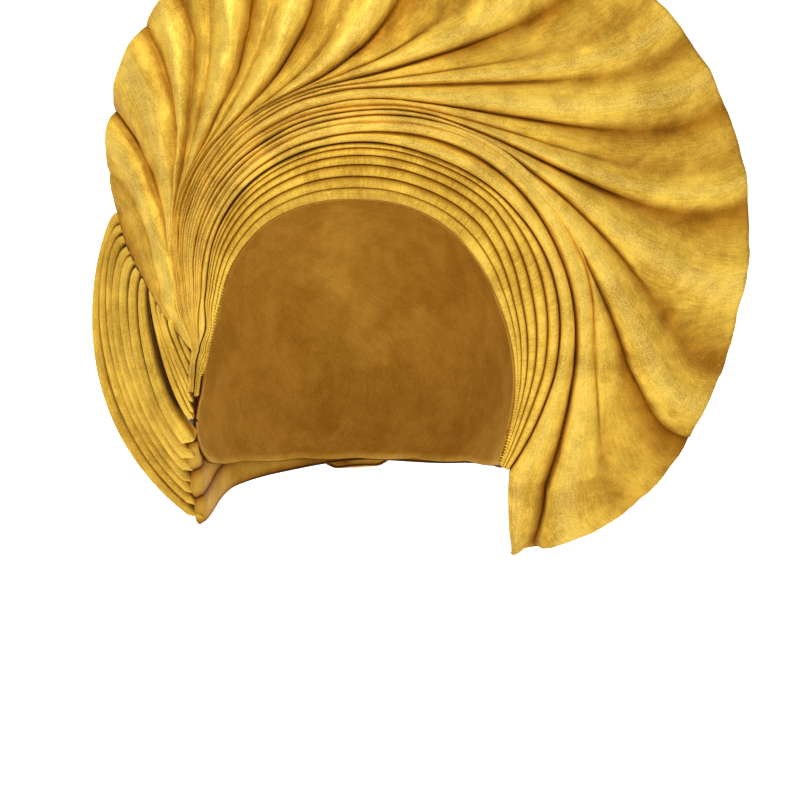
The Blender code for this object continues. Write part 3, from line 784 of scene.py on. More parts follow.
def make_fan(settings):
    """The wide fan of ruffled folds, from the gather at the temple to the rim."""
    clock, share, lift, u, v, fold = fan_surface(settings)
    base = fan_base(clock, share)
    run = fan_run()
    bundle = fading(clock, FAN_START_CLOCK + 4, 12) * np.sin(math.pi * np.clip((share - 0.3) / 0.7, 0, 1))
    lift = lift + BUNDLE_RISE * bundle
    for line, depth, width in FINE_CREASES:
        lift = lift + crease_marks(base, line_on_fan(line, 60), depth, width)
    ripples = wrinkles(u / settings.wrinkle_size, v / (2.6 * settings.wrinkle_size), 3.7)
    dents = wrinkles(u / (4 * settings.wrinkle_size), v / (4 * settings.wrinkle_size), 11.3)
    swells = wrinkles(clock / 4.6, share * 1.5, 5.9)
    swell = settings.swell_height * growing(share, *SWELL_BY_SHARE) * np.interp(clock, (-30, 10), (0.5, 1.0))
    lift = lift + swell * swells
    size = settings.wrinkle_height * growing(run, 0.0, 0.3) * np.interp(clock, (0, 30), (1.0, 0.6))
    size = size * (1 - 0.5 * growing(run, 0.93, 0.07))
    lift = lift + size * ripples + 1.6 * size * dents
    slant = growing(share, 0.82, 0.18) * (clock < NOTCH_CLOCK) * growing(run, 0.04, 0.1)
    lift = lift + slant * POCKET_RISE * np.abs(np.sin(math.pi * POCKETS * run))
    way = fold_way(clock, share)
    back = base + way * np.maximum(lift, DEEPEST_CREASE)[..., None]
    front = back + fan_normal(clock, share) * CLOTH_WALL
    return walled_sheet("ruffled_fan_cloth", back, front, np.stack([u, v], axis=-1), fold)


# Brow band


def make_band(settings):
    """The stacked layers across the brow, each with its folded edge towards the face."""
    clock = np.linspace(BAND_START_CLOCK, EAR_CLOCK, BAND_COLUMNS + 1)
    top = BAND_TOP_AT(clock)[..., 0]
    width = np.linalg.norm(fan_base(clock, top) - fan_base(clock, 0 * top), axis=1)
    top = top * (1 - FIT_GAP / width)
    lines = np.vstack([0 * clock, groove_shares(clock), 0 * clock + 1])
    deep = np.interp(clock, GROOVE_CLOCKS, (BROW_GROOVE, TEMPLE_GROOVE, TEMPLE_GROOVE, TEMPLE_GROOVE))
    hem = arc_lengths(fan_base(clock, 0 * clock)[None], 1)[0]
    rows = []
    for k in range(len(lines) - 1):
        layer = (lines[k + 1] - lines[k]) * width
        rise = np.minimum(deep * settings.layer_rise, GROOVE_LIMIT * layer)
        for turn in np.linspace(0, 1, LAYER_ROWS + 1)[: LAYER_ROWS + (k == len(lines) - 2)]:
            share = top * between(lines[k], lines[k + 1], turn**LAYER_LEAN)
            shingled = (1 - turn) ** 5 + turn**1.6
            rounded = (1 - turn) ** 3 + turn**3
            low = between(shingled, rounded, growing(clock, *ROUNDED_BY_CLOCK))
            u = 0.05 * k + layer * turn
            # The fourth value is the fold value: low at each layer's groove, so the cloth paints shade under
            # each folded edge, less on the hem layer.
            rows.append((share, rise * (1 - low), u, 1 - low * (0.35 if k == 0 else 1.0)))
    for beyond, sink in BAND_TUCK:
        share = top + beyond * np.minimum(1, 30 * top)
        # The tuck under the fan gets fold value 0, which the cloth paints dark as shade.
        rows.append((share, -sink + 0 * clock, rows[-1][2] + 0.002, 0 * clock))
    share, rise, u, fold = [np.array(column) for column in zip(*rows)]
    clock = clock + 0 * share
    v = hem + 0 * share
    ripples = wrinkles(u / 0.006, v / 0.03, 21.9)
    sink = np.minimum(rise, 0)
    rise = np.maximum(rise + settings.wrinkle_height * 0.3 * ripples * (sink == 0), 0)
    base = fan_base(clock, share)
    normal = fan_normal(clock, share)
    back = base + normal * sink[..., None]
    front = base + normal * (CLOTH_WALL + rise + sink)[..., None]
    return walled_sheet("brow_band_cloth", back, front, np.stack([v, u], axis=-1), fold)


# Cap, wrap and knot


def make_cap(settings):
    """The cap over the crown: an open egg with soft gathers that run from the crown to its edge."""
    edge = edge_loop(CAP_COLUMNS)
    crown = np.array([0.0, 0.0, 1.0]) + 0 * edge
    down = np.linspace(CAP_START, 1, CAP_ROWS)
    grid = np.array([turned(crown, edge, row) for row in down])
    round_head = np.linspace(0, 2 * math.pi, CAP_COLUMNS, endpoint=False)
    ridge = np.abs(np.sin(CAP_GATHERS / 2 * round_head + GATHER_SWAY * np.sin(2 * round_head)))
    reach = (growing(down, *GATHERS_START) * fading(down, *GATHERS_END))[:, None]
    gather = settings.gather_rise * reach * (1 - (1 - ridge) ** 2)[None]
    inner = on_head(grid, 0.0)
    outer = on_head(grid, CAP_WALL) + unit(grid) * gather[..., None]
    v = arc_lengths(inner, 0)
    u = round_head[None] * CAP_WEAVE[0] * np.sin(down * CAP_WEAVE[1])[:, None]
    rows, columns = CAP_ROWS, CAP_COLUMNS
    inner = np.swapaxes(inner, 0, 1).reshape(-1, 3)
    outer = np.swapaxes(outer, 0, 1).reshape(-1, 3)
    count = rows * columns
    faces = [grid_quads(columns, rows, 0, True), grid_quads(columns, rows, count, True)[:, ::-1]]
    rim = np.arange(columns) * rows + rows - 1
    after = np.roll(rim, -1)
    faces.append(np.stack([rim, after, after + count, rim + count], axis=-1))
    first = np.arange(columns) * rows
    pole = 2 * count
    points = np.vstack([inner, outer, [[0.0, 0.0, 0.0]], [[0.0, 0.0, CAP_WALL]]])
    quads = np.vstack(faces).tolist()
    for i in range(columns):
        j = (i + 1) % columns
        quads.append([pole, int(first[i]), int(first[j])])
        quads.append([pole + 1, int(first[j] + count), int(first[i] + count)])
    weave = np.stack([np.swapaxes(u, 0, 1), np.swapaxes(v, 0, 1)], axis=-1).reshape(-1, 2)
    weave = np.vstack([weave, weave, [[0.0, 0.0]], [[0.0, 0.0]]])
    # The gathers' height is the fold value: the cloth paints shade between the gathers and a highlight on
    # their tops; the inside gets an even 0.5.
    fold = np.swapaxes(gather / settings.gather_rise, 0, 1).ravel()
    fold = np.concatenate([0 * fold + 0.5, fold, [0.5, 0.5]])
    return finish_mesh("crown_cap_cloth", points, np.array(quads, dtype=object), weave, fold)


def make_wrap(settings):
    """The folded end of the cloth round the nape, in overlapping folds."""
    place = np.concatenate([np.linspace(0, 0.93, WRAP_COLUMNS, endpoint=False), np.linspace(0.93, 1.0, 16)])
    middle = wrap_point(place, 0.5, 0.0)
    v = arc_lengths(middle[None], 1)[0]
    rows = []
    for k in range(WRAP_FOLDS):
        for turn in np.linspace(0, 1, WRAP_ROWS + 1)[: WRAP_ROWS + (k == WRAP_FOLDS - 1)]:
            climb = (k + turn) / WRAP_FOLDS
            low = (1 - turn) ** 4 + turn**1.8
            # 1 - low is the fold value: the cloth paints shade at the foot of each fold and a highlight on
            # its crest.
            rows.append((climb + 0 * place, 1 - low + 0 * place, 0.02 * (k + turn) + 0 * place, v))
    climb, fold, u, v = [np.array(column) for column in zip(*rows)]
    ripples = wrinkles(u / 0.010, v / 0.045, 33.1)
    rise = settings.wrap_rise * np.maximum(fold + 0.25 * ripples, 0)
    roll = np.clip((place - WRAP_ROLL_START) / (1 - WRAP_ROLL_START), 0, 1)
    rise = rise + WRAP_ROLL_RISE * np.sin(math.pi * np.clip(roll, 0, 0.92)) ** 0.6
    back = np.array([wrap_point(place, row[0], 0.0) for row in climb])
    front = back + unit((back - HEAD_CENTRE) / head_axes(0.0) ** 2) * (WRAP_WALL + rise)[..., None]
    return walled_sheet("nape_wrap_cloth", back, front, np.stack([v, u], axis=-1), fold)


def make_knot(settings):
    """The knot at the nape: a lobed dome of folds drawn in at its waist."""
    middle = wrap_point(np.linspace(0, 1, 60), 0.5, 0.0)
    round_nape = np.linalg.norm(np.diff(middle, axis=0), axis=1).sum()
    tall = np.linalg.norm(wrap_point(0.5, 1.0, 0.0) - wrap_point(0.5, 0.0, 0.0))
    seat = WRAP_RISE + WRAP_WALL + FIT_GAP
    across = np.linspace(-1, 1, KNOT_STEPS + 1)
    up = across
    backs = []
    fronts = []
    folds = []
    for v in up:
        place = 0.5 + across * math.sqrt(1 - KNOT_WAIST * v * v) * KNOT_WIDTH / 2 / round_nape
        climb = 0.5 + v * KNOT_HEIGHT / 2 / tall
        dome = (1 - v * v) * (1 - across**2) * (1 + KNOT_LOBE * np.cos(3 * math.pi * across))
        swirl = v + 0.45 * np.sin(1.6 * across) * (1 - v * v)
        crease = np.abs(np.sin(math.pi * settings.knot_folds / 2 * swirl))
        ridge = (1 - (1 - crease) ** 2.5) * fading(across**2, 1, 0.25) * fading(v * v, 1, 0.2)
        height = CLOTH_WALL + KNOT_DEPTH * np.sqrt(dome) * (0.86 + 0.16 * ridge)
        backs.append(wrap_point(place, climb, seat))
        fronts.append(wrap_point(place, climb, seat + height[:, None]))
        # The ridge is the fold value: the cloth paints shade between the knot's folds and a highlight on
        # their crests.
        folds.append(ridge)
    weave = np.stack(np.meshgrid(across * KNOT_WIDTH * 0.7, up * KNOT_HEIGHT * 0.8), axis=-1)
    return walled_sheet("nape_knot_cloth", np.array(backs), np.array(fronts), weave, np.array(folds))


# Geometry Nodes: pleats swept along paths, and the ribs of the brow band's hem


class Wiring:
    """Lays out the nodes of one tree, for a shape or for a cloth."""

    def __init__(self, tree):
        self.tree = tree

    def join(self, value, socket):
        """Sets an input, or joins it to another node's output, the first one unless an output is given."""
        if isinstance(value, bpy.types.Node):
            value = value.outputs[0]
        if isinstance(value, bpy.types.NodeSocket):
            self.tree.links.new(value, socket)
        else:
            socket.default_value = value

    def fill(self, node, **inputs):
        """Sets or joins some of a node's inputs."""
        for label, value in inputs.items():
            self.join(value, node.inputs[label.replace("_", " ")])

    def add(self, kind, ways=(), **inputs):
        """A node that works in the given ways, with some of its inputs set or joined."""
        node = self.tree.nodes.new(kind)
        for label, value in ways:
            setattr(node, label, value)
        self.fill(node, **inputs)
        return node

    def sum(self, operation, first, second=0.0, third=0.0):
        """One step of arithmetic."""
        node = self.add("ShaderNodeMath", [("operation", operation)])
        for value, socket in zip((first, second, third), node.inputs):
            self.join(value, socket)
        return node.outputs[0]

    def named(self, name, kind="FLOAT"):
        """Reads a named value of a shape."""
        return self.add("GeometryNodeInputNamedAttribute", [("data_type", kind)], Name=name)

    def keep(self, name, shape, value, kind="FLOAT", domain="POINT"):
        """A shape with a value stored under a name."""
        ways = [("data_type", kind), ("domain", domain)]
        return self.add("GeometryNodeStoreNamedAttribute", ways, Name=name, Geometry=shape, Value=value)

    def noise(self, vector, scale, detail, roughness=0.55):
        """Smooth noise, 0 to 1."""
        node = self.add("ShaderNodeTexNoise", Vector=vector, Scale=scale, Detail=detail, Roughness=roughness)
        return node.outputs[0]

    def ramp(self, value, low, high, first=0.0, last=1.0):
        """A value taken softly from one range to another."""
        node = self.add("ShaderNodeMapRange", [("interpolation_type", "SMOOTHSTEP")])
        for number, label in zip((low, high, first, last), ("From Min", "From Max", "To Min", "To Max")):
            self.join(number, node.inputs[label])
        self.join(value, node.inputs["Value"])
        return node.outputs[0]

    def mix(self, share, first, second, blend="MIX"):
        """Two colours mixed."""
        node = self.add("ShaderNodeMix", [("data_type", "RGBA"), ("blend_type", blend)])
        for value, index in ((share, 0), (first, 6), (second, 7)):
            self.join(value, node.inputs[index])
        return node.outputs[2]


def new_tree(name, sizes):
    """An empty tree with a shape in and out, a cloth, and named sizes: its wiring, and what it is given."""
    tree = bpy.data.node_groups.new(name, "GeometryNodeTree")
    face = tree.interface
    face.new_socket("Geometry", in_out="INPUT", socket_type="NodeSocketGeometry")
    for label, value in sizes:
        kind = "NodeSocketInt" if isinstance(value, int) else "NodeSocketFloat"
        face.new_socket(label, in_out="INPUT", socket_type=kind).default_value = value
    face.new_socket("Cloth", in_out="INPUT", socket_type="NodeSocketMaterial")
    face.new_socket("Geometry", in_out="OUTPUT", socket_type="NodeSocketGeometry")
    return Wiring(tree), tree.nodes.new("NodeGroupInput").outputs


def close_tree(grow, given, shape):
    """Smooth shading, Realize Instances and Set Material, which end every tree."""
    shape = grow.add("GeometryNodeSetShadeSmooth", Geometry=shape)
    shape = grow.add("GeometryNodeRealizeInstances", Geometry=shape)
    shape = grow.add("GeometryNodeSetMaterial", Geometry=shape, Material=given["Cloth"])
    grow.add("NodeGroupOutput", Geometry=shape)
    return grow.tree


def pleat_tree():
    """Sweeps a folded pleat along each path: its girth, the way it faces and its weave come from the path."""
    grow, given = new_tree("Swept Pleats", [("Fullness", 0.9), ("Profile Points", 16), ("Flatten", 0.55)])
    path = grow.add("GeometryNodeMeshToCurve", Mesh=given["Geometry"])
    away = grow.named("away", "FLOAT_VECTOR")
    path = grow.add("GeometryNodeSetCurveNormal", [("mode", "FREE")], Curve=path, Normal=away)
    path = grow.add("GeometryNodeSetCurveRadius", Curve=path, Radius=grow.named("girth"))
    path = grow.keep("along", path, grow.add("GeometryNodeSplineParameter").outputs["Length"])

    ring = grow.add("GeometryNodeCurvePrimitiveCircle", Radius=1.0, Resolution=given["Profile Points"])
    spot = grow.add("ShaderNodeSeparateXYZ", Vector=grow.add("GeometryNodeInputPosition")).outputs
    crest = grow.sum("MULTIPLY", grow.sum("MAXIMUM", spot["X"], 0.0), given["Fullness"])
    behind = grow.sum("MULTIPLY", grow.sum("MINIMUM", spot["X"], 0.0), given["Flatten"])
    folded = grow.add("ShaderNodeCombineXYZ", X=grow.sum("ADD", crest, behind), Y=spot["Y"])
    ring = grow.add("GeometryNodeSetPosition", Geometry=ring, Position=folded)
    ring = grow.keep("round", ring, grow.add("GeometryNodeSplineParameter").outputs["Factor"])
    # Painted shade: the fold value is 1 on the pleat's front and back and 0 on its sides, so the cloth
    # darkens the sides.
    ring = grow.keep("fold", ring, grow.sum("ABSOLUTE", spot["X"]))

    swept = grow.add("GeometryNodeCurveToMesh", Curve=path, Profile_Curve=ring, Fill_Caps=True)
    if "Scale" in swept.inputs:
        grow.fill(swept, Scale=grow.named("girth"))
    # Times the path's shade, which is 0 on the hidden pleats, so the cloth paints them dark as shade.
    swept = grow.keep("fold", swept, grow.sum("MULTIPLY", grow.named("fold"), grow.named("shade")))
    across = grow.sum("MULTIPLY", grow.named("round"), PLEAT_ROUND)
    weave = grow.add("ShaderNodeCombineXYZ", X=across, Y=grow.named("along"))
    return close_tree(grow, given, grow.keep("weave", swept, weave, "FLOAT2", "CORNER"))


def hem_tree():
    """Sets short ribs across a hem's path, an even distance apart, each a little different."""
    sizes = [("Spacing", 0.0016), ("Rib Length", 0.004), ("Rib Width", 0.0006), ("Rib Height", 0.0005)]
    grow, given = new_tree("Hem Ribs", [*sizes, ("Seed", 5)])
    path = grow.add("GeometryNodeMeshToCurve", Mesh=given["Geometry"])
    path = grow.add("GeometryNodeResampleCurve", [("mode", "LENGTH")], Curve=path, Length=given["Spacing"])
    bead = grow.add("GeometryNodeMeshUVSphere", Segments=6, Rings=4, Radius=0.5)
    sides = {"X": given["Rib Length"], "Y": given["Rib Width"], "Z": given["Rib Height"]}
    size = grow.add("ShaderNodeCombineXYZ", **sides)
    rib = grow.keep("fold", grow.add("GeometryNodeTransform", Geometry=bead, Scale=size), RIB_SHADE_LEVEL)
    away = grow.named("away", "FLOAT_VECTOR")
    level = grow.add("FunctionNodeAlignRotationToVector", [("axis", "Z")], Vector=away)
    ways = [("axis", "X"), ("pivot_axis", "Z")]
    crossing = grow.named("crossing", "FLOAT_VECTOR")
    aim = grow.add("FunctionNodeAlignRotationToVector", ways, Rotation=level, Vector=crossing)
    vary = grow.add("FunctionNodeRandomValue", [("data_type", "FLOAT")], Seed=given["Seed"])
    for value, index in zip(RIB_VARIATION, (2, 3)):
        grow.join(value, vary.inputs[index])
    varied = vary.outputs[1]
    ribs = grow.add("GeometryNodeInstanceOnPoints", Points=path, Instance=rib, Rotation=aim, Scale=varied)
    return close_tree(grow, given, ribs)


def set_input(modifier, label, value):
    """Sets a tree's named input by its socket's identifier."""
    for item in modifier.node_group.interface.items_tree:
        if item.item_type == "SOCKET" and item.in_out == "INPUT" and item.name == label:
            modifier[item.identifier] = value
            return
    raise RuntimeError(f"the tree {modifier.node_group.name} has no input {label}")


def grown_piece(name, lines, attributes, tree, sizes, cloth):
    """A plain mesh that a tree grows from lines of points with named values."""
    mesh = bpy.data.meshes.new(name + "_paths")
    points = np.vstack(lines)
    edges = []
    start = 0
    for line in lines:
        edges += [(start + i, start + i + 1) for i in range(len(line) - 1)]
        start += len(line)
    mesh.from_pydata(points.tolist(), edges, [])
    for label, values in attributes.items():
        kind, field = ("FLOAT_VECTOR", "vector") if values.ndim == 2 else ("FLOAT", "value")
        layer = mesh.attributes.new(label, kind, "POINT")
        layer.data.foreach_set(field, values.astype(np.float32).ravel())
    source = bpy.data.objects.new(name + "_paths", mesh)
    bpy.context.scene.collection.objects.link(source)
    grow = source.modifiers.new("grow", "NODES")
    grow.node_group = tree
    for label, value in sizes.items():
        set_input(grow, label, value)
    set_input(grow, "Cloth", cloth)
    bpy.context.view_layer.update()
    graph = bpy.context.evaluated_depsgraph_get()
    made = bpy.data.meshes.new_from_object(source.evaluated_get(graph), depsgraph=graph)
    bpy.data.objects.remove(source, do_unlink=True)
    bpy.data.meshes.remove(mesh)
    made.name = name
    piece = bpy.data.objects.new(name, made)
    bpy.context.scene.collection.objects.link(piece)
    return piece


def pleat_lines(first, last, pleats, settings):
    """Paths of one bundle's pleats, with how thick each is and which way it faces."""
    along = np.linspace(0, 1, CORD_STATIONS + 1)
    lines = []
    girths = []
    ways = []
    shades = []
    step = (last - first) / pleats
    spots = [(first + step * (j + 0.5), 0.0) for j in range(pleats)]
    spots += [(place, settings.under_depth) for place in UNDER_PLEATS if first < place <= last + 0.03]
    spots += [(first + step * j, settings.groove_depth) for j in range(1, pleats)]
    for j, (place, sink) in enumerate(spots):
        wide = UNDER_WIDTH if sink == settings.under_depth else 1.0
        sway = settings.pleat_sway * step * np.sin(2 * math.pi * (SWAY_WAVES * along + SWAY_TURN * j))
        sway = sway * np.sin(math.pi * along)
        middle = side_base(np.clip(place + sway, 0, 1), along)
        left = side_base(place - step / 2 + 0 * along, along)
        right = side_base(place + step / 2 + 0 * along, along)
        ahead = side_base(place, np.minimum(along + 0.01, 1)) - side_base(place, np.maximum(along - 0.01, 0))
        normal = facing(ahead, right - left)
        tangent = unit(ahead)
        away = settings.pleat_turn * np.array([0.0, -1.0, 0.0]) + (1 - settings.pleat_turn) * normal
        away = unit(away - tangent * np.sum(away * tangent, axis=1, keepdims=True))
        beside = np.cross(tangent, away)
        half = np.abs(np.sum((right - left) * beside, axis=1)) / 2
        end = np.sqrt(np.clip(1 - ((along - ROUND_END) / ROUND_LENGTH) ** 2, 0.04, 1))
        end = np.where(along > ROUND_END, end, 1.0)
        full = settings.pleat_fullness * (1 + GROWTH * growing(along, *GROWTH_ALONG))
        hidden = 1 - TAPER * growing(along, *TAPER_ALONG) if sink else 1.0
        girth = np.clip(half * full, LEAST_GIRTH, settings.pleat_limit) * end * wide * hidden
        seat = settings.pleat_seat + GIRTH_SEAT * girth - sink * growing(along, *SINK_ALONG)
        lines.append(middle + normal * seat[:, None])
        girths.append(girth)
        ways.append(away)
        # Painted shade: the hidden pleats get shade 0, so the cloth paints them dark; the shown pleats get
        # the pleat shade.
        shades.append(np.full(len(along), 0.0 if sink else settings.pleat_shade))
    return lines, {"girth": np.concatenate(girths), "away": np.vstack(ways), "shade": np.concatenate(shades)}


def hem_lines():
    """The path of the brow band's face edge, and the ways across it and away from the head."""
    clock = np.linspace(BAND_START_CLOCK + 1, EAR_CLOCK - 1, 240)
    top = BAND_TOP_AT(clock)[..., 0]
    share = top * 0.075
    normal = fan_normal(clock, share)
    inner = fan_base(clock, 0 * share)
    outer = fan_base(clock, top * 0.16)
    line = fan_base(clock, share) + normal * (CLOTH_WALL + 0.0002)
    return [line], {"away": normal, "crossing": unit(outer - inner)}


# Woven gold cloth


def woven_gold(name, cloth, light, deep, twill, relief):
    """Stiff gold cloth of metallic thread: twill and ribs, patchy sheen, painted shade darkening the creases
    and a speckled painted highlight along the crests.
    """
    material = bpy.data.materials.new(name)
    material.use_nodes = True
    weave = Wiring(material.node_tree)
    shader = weave.tree.nodes["Principled BSDF"]
    place = weave.add("ShaderNodeTexCoord").outputs["Object"]
    threads = weave.add("ShaderNodeUVMap", [("uv_map", "weave")])
    parts = weave.add("ShaderNodeSeparateXYZ", Vector=threads.outputs[0])
    u, v = parts.outputs["X"], parts.outputs["Y"]
    turns = 2 * math.pi / cloth.thread_pitch
    wander = weave.noise(place, 160.0, 2.0)
    rib_turn = weave.sum("MULTIPLY_ADD", wander, 2.5, weave.sum("MULTIPLY", v, turns))
    rib = weave.sum("MULTIPLY_ADD", weave.sum("SINE", rib_turn), 0.5, 0.5)
    slant = weave.sum("MULTIPLY_ADD", v, twill * turns, weave.sum("MULTIPLY", u, 1.1 * turns))
    cord = weave.sum("MULTIPLY_ADD", weave.sum("SINE", slant), 0.5, 0.5)
    thread = weave.sum("MULTIPLY_ADD", rib, 0.6, weave.sum("MULTIPLY", cord, 0.4))
    grain = weave.noise(place, cloth.grain_scale, 3.0, 0.65)
    speck = weave.ramp(grain, 0.36, 0.66)
    streaks = weave.add("ShaderNodeMapping", Vector=threads.outputs[0], Scale=(1100.0, 90.0, 1.0))
    streak = weave.noise(streaks.outputs[0], 1.0, 2.0)
    patch = weave.ramp(weave.noise(place, 26.0, 3.0), 0.40, 0.60)
    cloudy = weave.ramp(weave.noise(place, 85.0, 4.0, 0.65), 0.38, 0.62)
    # The fold value, 0 in a crease and 1 on a crest, is the mask of the painted shade and the painted
    # highlight below.
    fold = weave.add("ShaderNodeAttribute", [("attribute_name", "fold")]).outputs["Fac"]
    crest = weave.ramp(fold, 0.0, 0.68)
    crest_highlight_and_wear = weave.ramp(fold, 0.82, 1.0)
    tone = weave.sum("MULTIPLY_ADD", patch, 0.36, weave.sum("MULTIPLY", cloudy, 0.30))
    tone = weave.sum("MULTIPLY_ADD", speck, cloth.speckle, tone)
    tone = weave.sum("MULTIPLY_ADD", weave.ramp(streak, 0.34, 0.66), 0.22, tone)
    tone = weave.sum("MULTIPLY_ADD", thread, 0.10 * relief, tone)
    base = weave.mix(tone, deep, light)
    # Painted shade: the colour is multiplied towards deep gold where the fold value is low, in creases,
    # troughs and on pleat sides.
    shaded = weave.mix(weave.sum("MULTIPLY_ADD", crest, -0.95, 0.95), base, deep, "MULTIPLY")
    # Painted shadow: a near black multiply along the deepest creases, where the fold value is near 0.
    painted_crease_shadow = weave.ramp(fold, -0.02, 0.17, 0.12, 1.0)
    shaded = weave.mix(1.0, shaded, painted_crease_shadow, "MULTIPLY")
    # Painted highlight: the glint colour is mixed into speckled threads along the crests, where the fold
    # value is highest; the same mask also lowers the roughness there.
    painted_crest_highlight = weave.sum("MULTIPLY", crest_highlight_and_wear, weave.sum("MULTIPLY", speck, 0.35))
    colour = weave.mix(painted_crest_highlight, shaded, (*cloth.glint, 1.0))
    rough = weave.sum("MULTIPLY_ADD", patch, -0.08, cloth.roughness + 0.06)
    rough = weave.sum("MULTIPLY_ADD", speck, -0.06, rough)
    rough = weave.sum("MULTIPLY_ADD", crest_highlight_and_wear, -0.04, rough)
    weave.fill(shader, Base_Color=colour, Roughness=rough, Metallic=cloth.metal, Specular_IOR_Level=0.0)
    weave.fill(shader, Sheen_Weight=cloth.sheen, Sheen_Roughness=0.45, Sheen_Tint=(1.0, 0.84, 0.45, 1.0))
    crinkle = weave.noise(place, 210.0, 3.0, 0.6)
    soft = weave.add("ShaderNodeBump", Strength=0.55, Distance=0.0010, Height=crinkle)
    fine = weave.add("ShaderNodeBump", Strength=0.7, Distance=0.00009, Height=grain, Normal=soft)
    woven = weave.add("ShaderNodeBump", Strength=0.8 * relief, Distance=0.00010, Height=thread, Normal=fine)
    weave.fill(shader, Normal=woven)
    return material


def plain_paper(name, colour, glow):
    """The matt paper of the studio, with a faint tooth and a white glow."""
    material = bpy.data.materials.new(name)
    material.use_nodes = True
    paper = Wiring(material.node_tree)
    shader = paper.tree.nodes["Principled BSDF"]
    tooth = paper.noise(paper.add("ShaderNodeTexCoord").outputs["Object"], 60.0, 2.0)
    paler = tuple(min(1.0, value * 1.02) for value in colour)
    toothed = paper.mix(tooth, (*colour, 1.0), (*paler, 1.0))
    paper.fill(shader, Base_Color=toothed, Roughness=0.9, Specular_IOR_Level=0.1)
    paper.fill(shader, Emission_Color=(1.0, 1.0, 1.0, 1.0), Emission_Strength=glow)
    return material


def cloth_named(name):
    """One of the two cloths, woven the first time that it is asked for."""
    if name not in MADE:
        cloth = bpy.context.scene.head_tie_cloth
        deep = (*cloth.deep_gold, 1.0)
        if name == "gold_cloth":
            made = woven_gold("woven_gold_cloth", cloth, (*cloth.light_gold, 1.0), deep, 0.8, 1.0)
        # The cap and the wrap get a darker copy of the same gold cloth: painted shade for where the light
        # reaches less.
        else:
            made = woven_gold("painted_shade_gold_cloth", cloth, (*cloth.painted_shade_gold, 1.0), deep, -0.8, 0.35)
        MADE[name] = made.name
    return bpy.data.materials[MADE[name]]


# Studio


def stage_sheet(name, points, material):
    """A long sheet of the studio, from a line of points across and the same line moved to the right."""
    reach = np.array([9.0, 0.0, 0.0])
    line = np.array(points)
    mesh = bpy.data.meshes.new(name)
    grid = np.vstack([line - reach, line + reach])
    count = len(line)
    faces = [(i, count + i, count + i + 1, i + 1) for i in range(count - 1)]
    mesh.from_pydata(grid.tolist(), [], faces)
    mesh.shade_smooth()
    mesh.materials.append(material)
    made = bpy.data.objects.new(name, mesh)
    bpy.context.scene.collection.objects.link(made)


def make_floor(studio):
    """A pale floor, and a white backdrop a long way behind the head tie."""
    level = studio.floor_level
    paper = plain_paper("studio_paper", tuple(studio.floor_colour), studio.floor_glow)
    stage_sheet("studio_floor", [(0.0, -9.0, level), (0.0, 2.6, level)], paper)
    glow = plain_paper("studio_backdrop", tuple(studio.floor_colour), studio.backdrop_glow)
    bend = np.linspace(0, math.pi / 2, 12)
    rise = [(0.0, 2.6 + 0.5 * math.sin(a), level + 0.5 * (1 - math.cos(a))) for a in bend]
    stage_sheet("studio_backdrop", rise + [(0.0, 3.1, 4.5)], glow)


def soft_light(name, place, target, size, power):
    """A square soft light turned to a point."""
    lamp = bpy.data.lights.new(name, "AREA")
    lamp.size = size
    lamp.energy = power
    made = bpy.data.objects.new(name, lamp)
    made.location = place
    way = Vector(target) - Vector(place)
    made.rotation_euler = way.to_track_quat("-Z", "Y").to_euler()
    bpy.context.scene.collection.objects.link(made)


def make_lights(studio):
    """White light from all round, a key from the upper left and a weak fill."""
    world = bpy.data.worlds.new("studio_light")
    world.use_nodes = True
    sky = world.node_tree.nodes["Background"]
    sky.inputs["Color"].default_value = (1.0, 1.0, 1.0, 1.0)
    sky.inputs["Strength"].default_value = studio.sky_strength
    bpy.context.scene.world = world
    middle = (0.03, -0.02, -0.05)
    soft_light("key_light", (-0.70, -1.35, 1.40), middle, 0.6, studio.key_power)
    soft_light("fill_light", (1.5, -1.3, 0.5), middle, 1.2, studio.fill_power)
    bpy.context.scene.view_settings.view_transform = "Standard"


def make_camera(studio):
    """A level camera at the height of the temples."""
    lens = bpy.data.cameras.new("front_camera")
    lens.sensor_width = 36.0
    lens.lens = studio.camera_lens
    camera = bpy.data.objects.new("front_camera", lens)
    camera.location = (studio.camera_across, -studio.camera_distance, studio.camera_height)
    camera.rotation_euler = (math.pi / 2, 0.0, 0.0)
    bpy.context.scene.collection.objects.link(camera)
    bpy.context.scene.camera = camera


# Sizes and colours


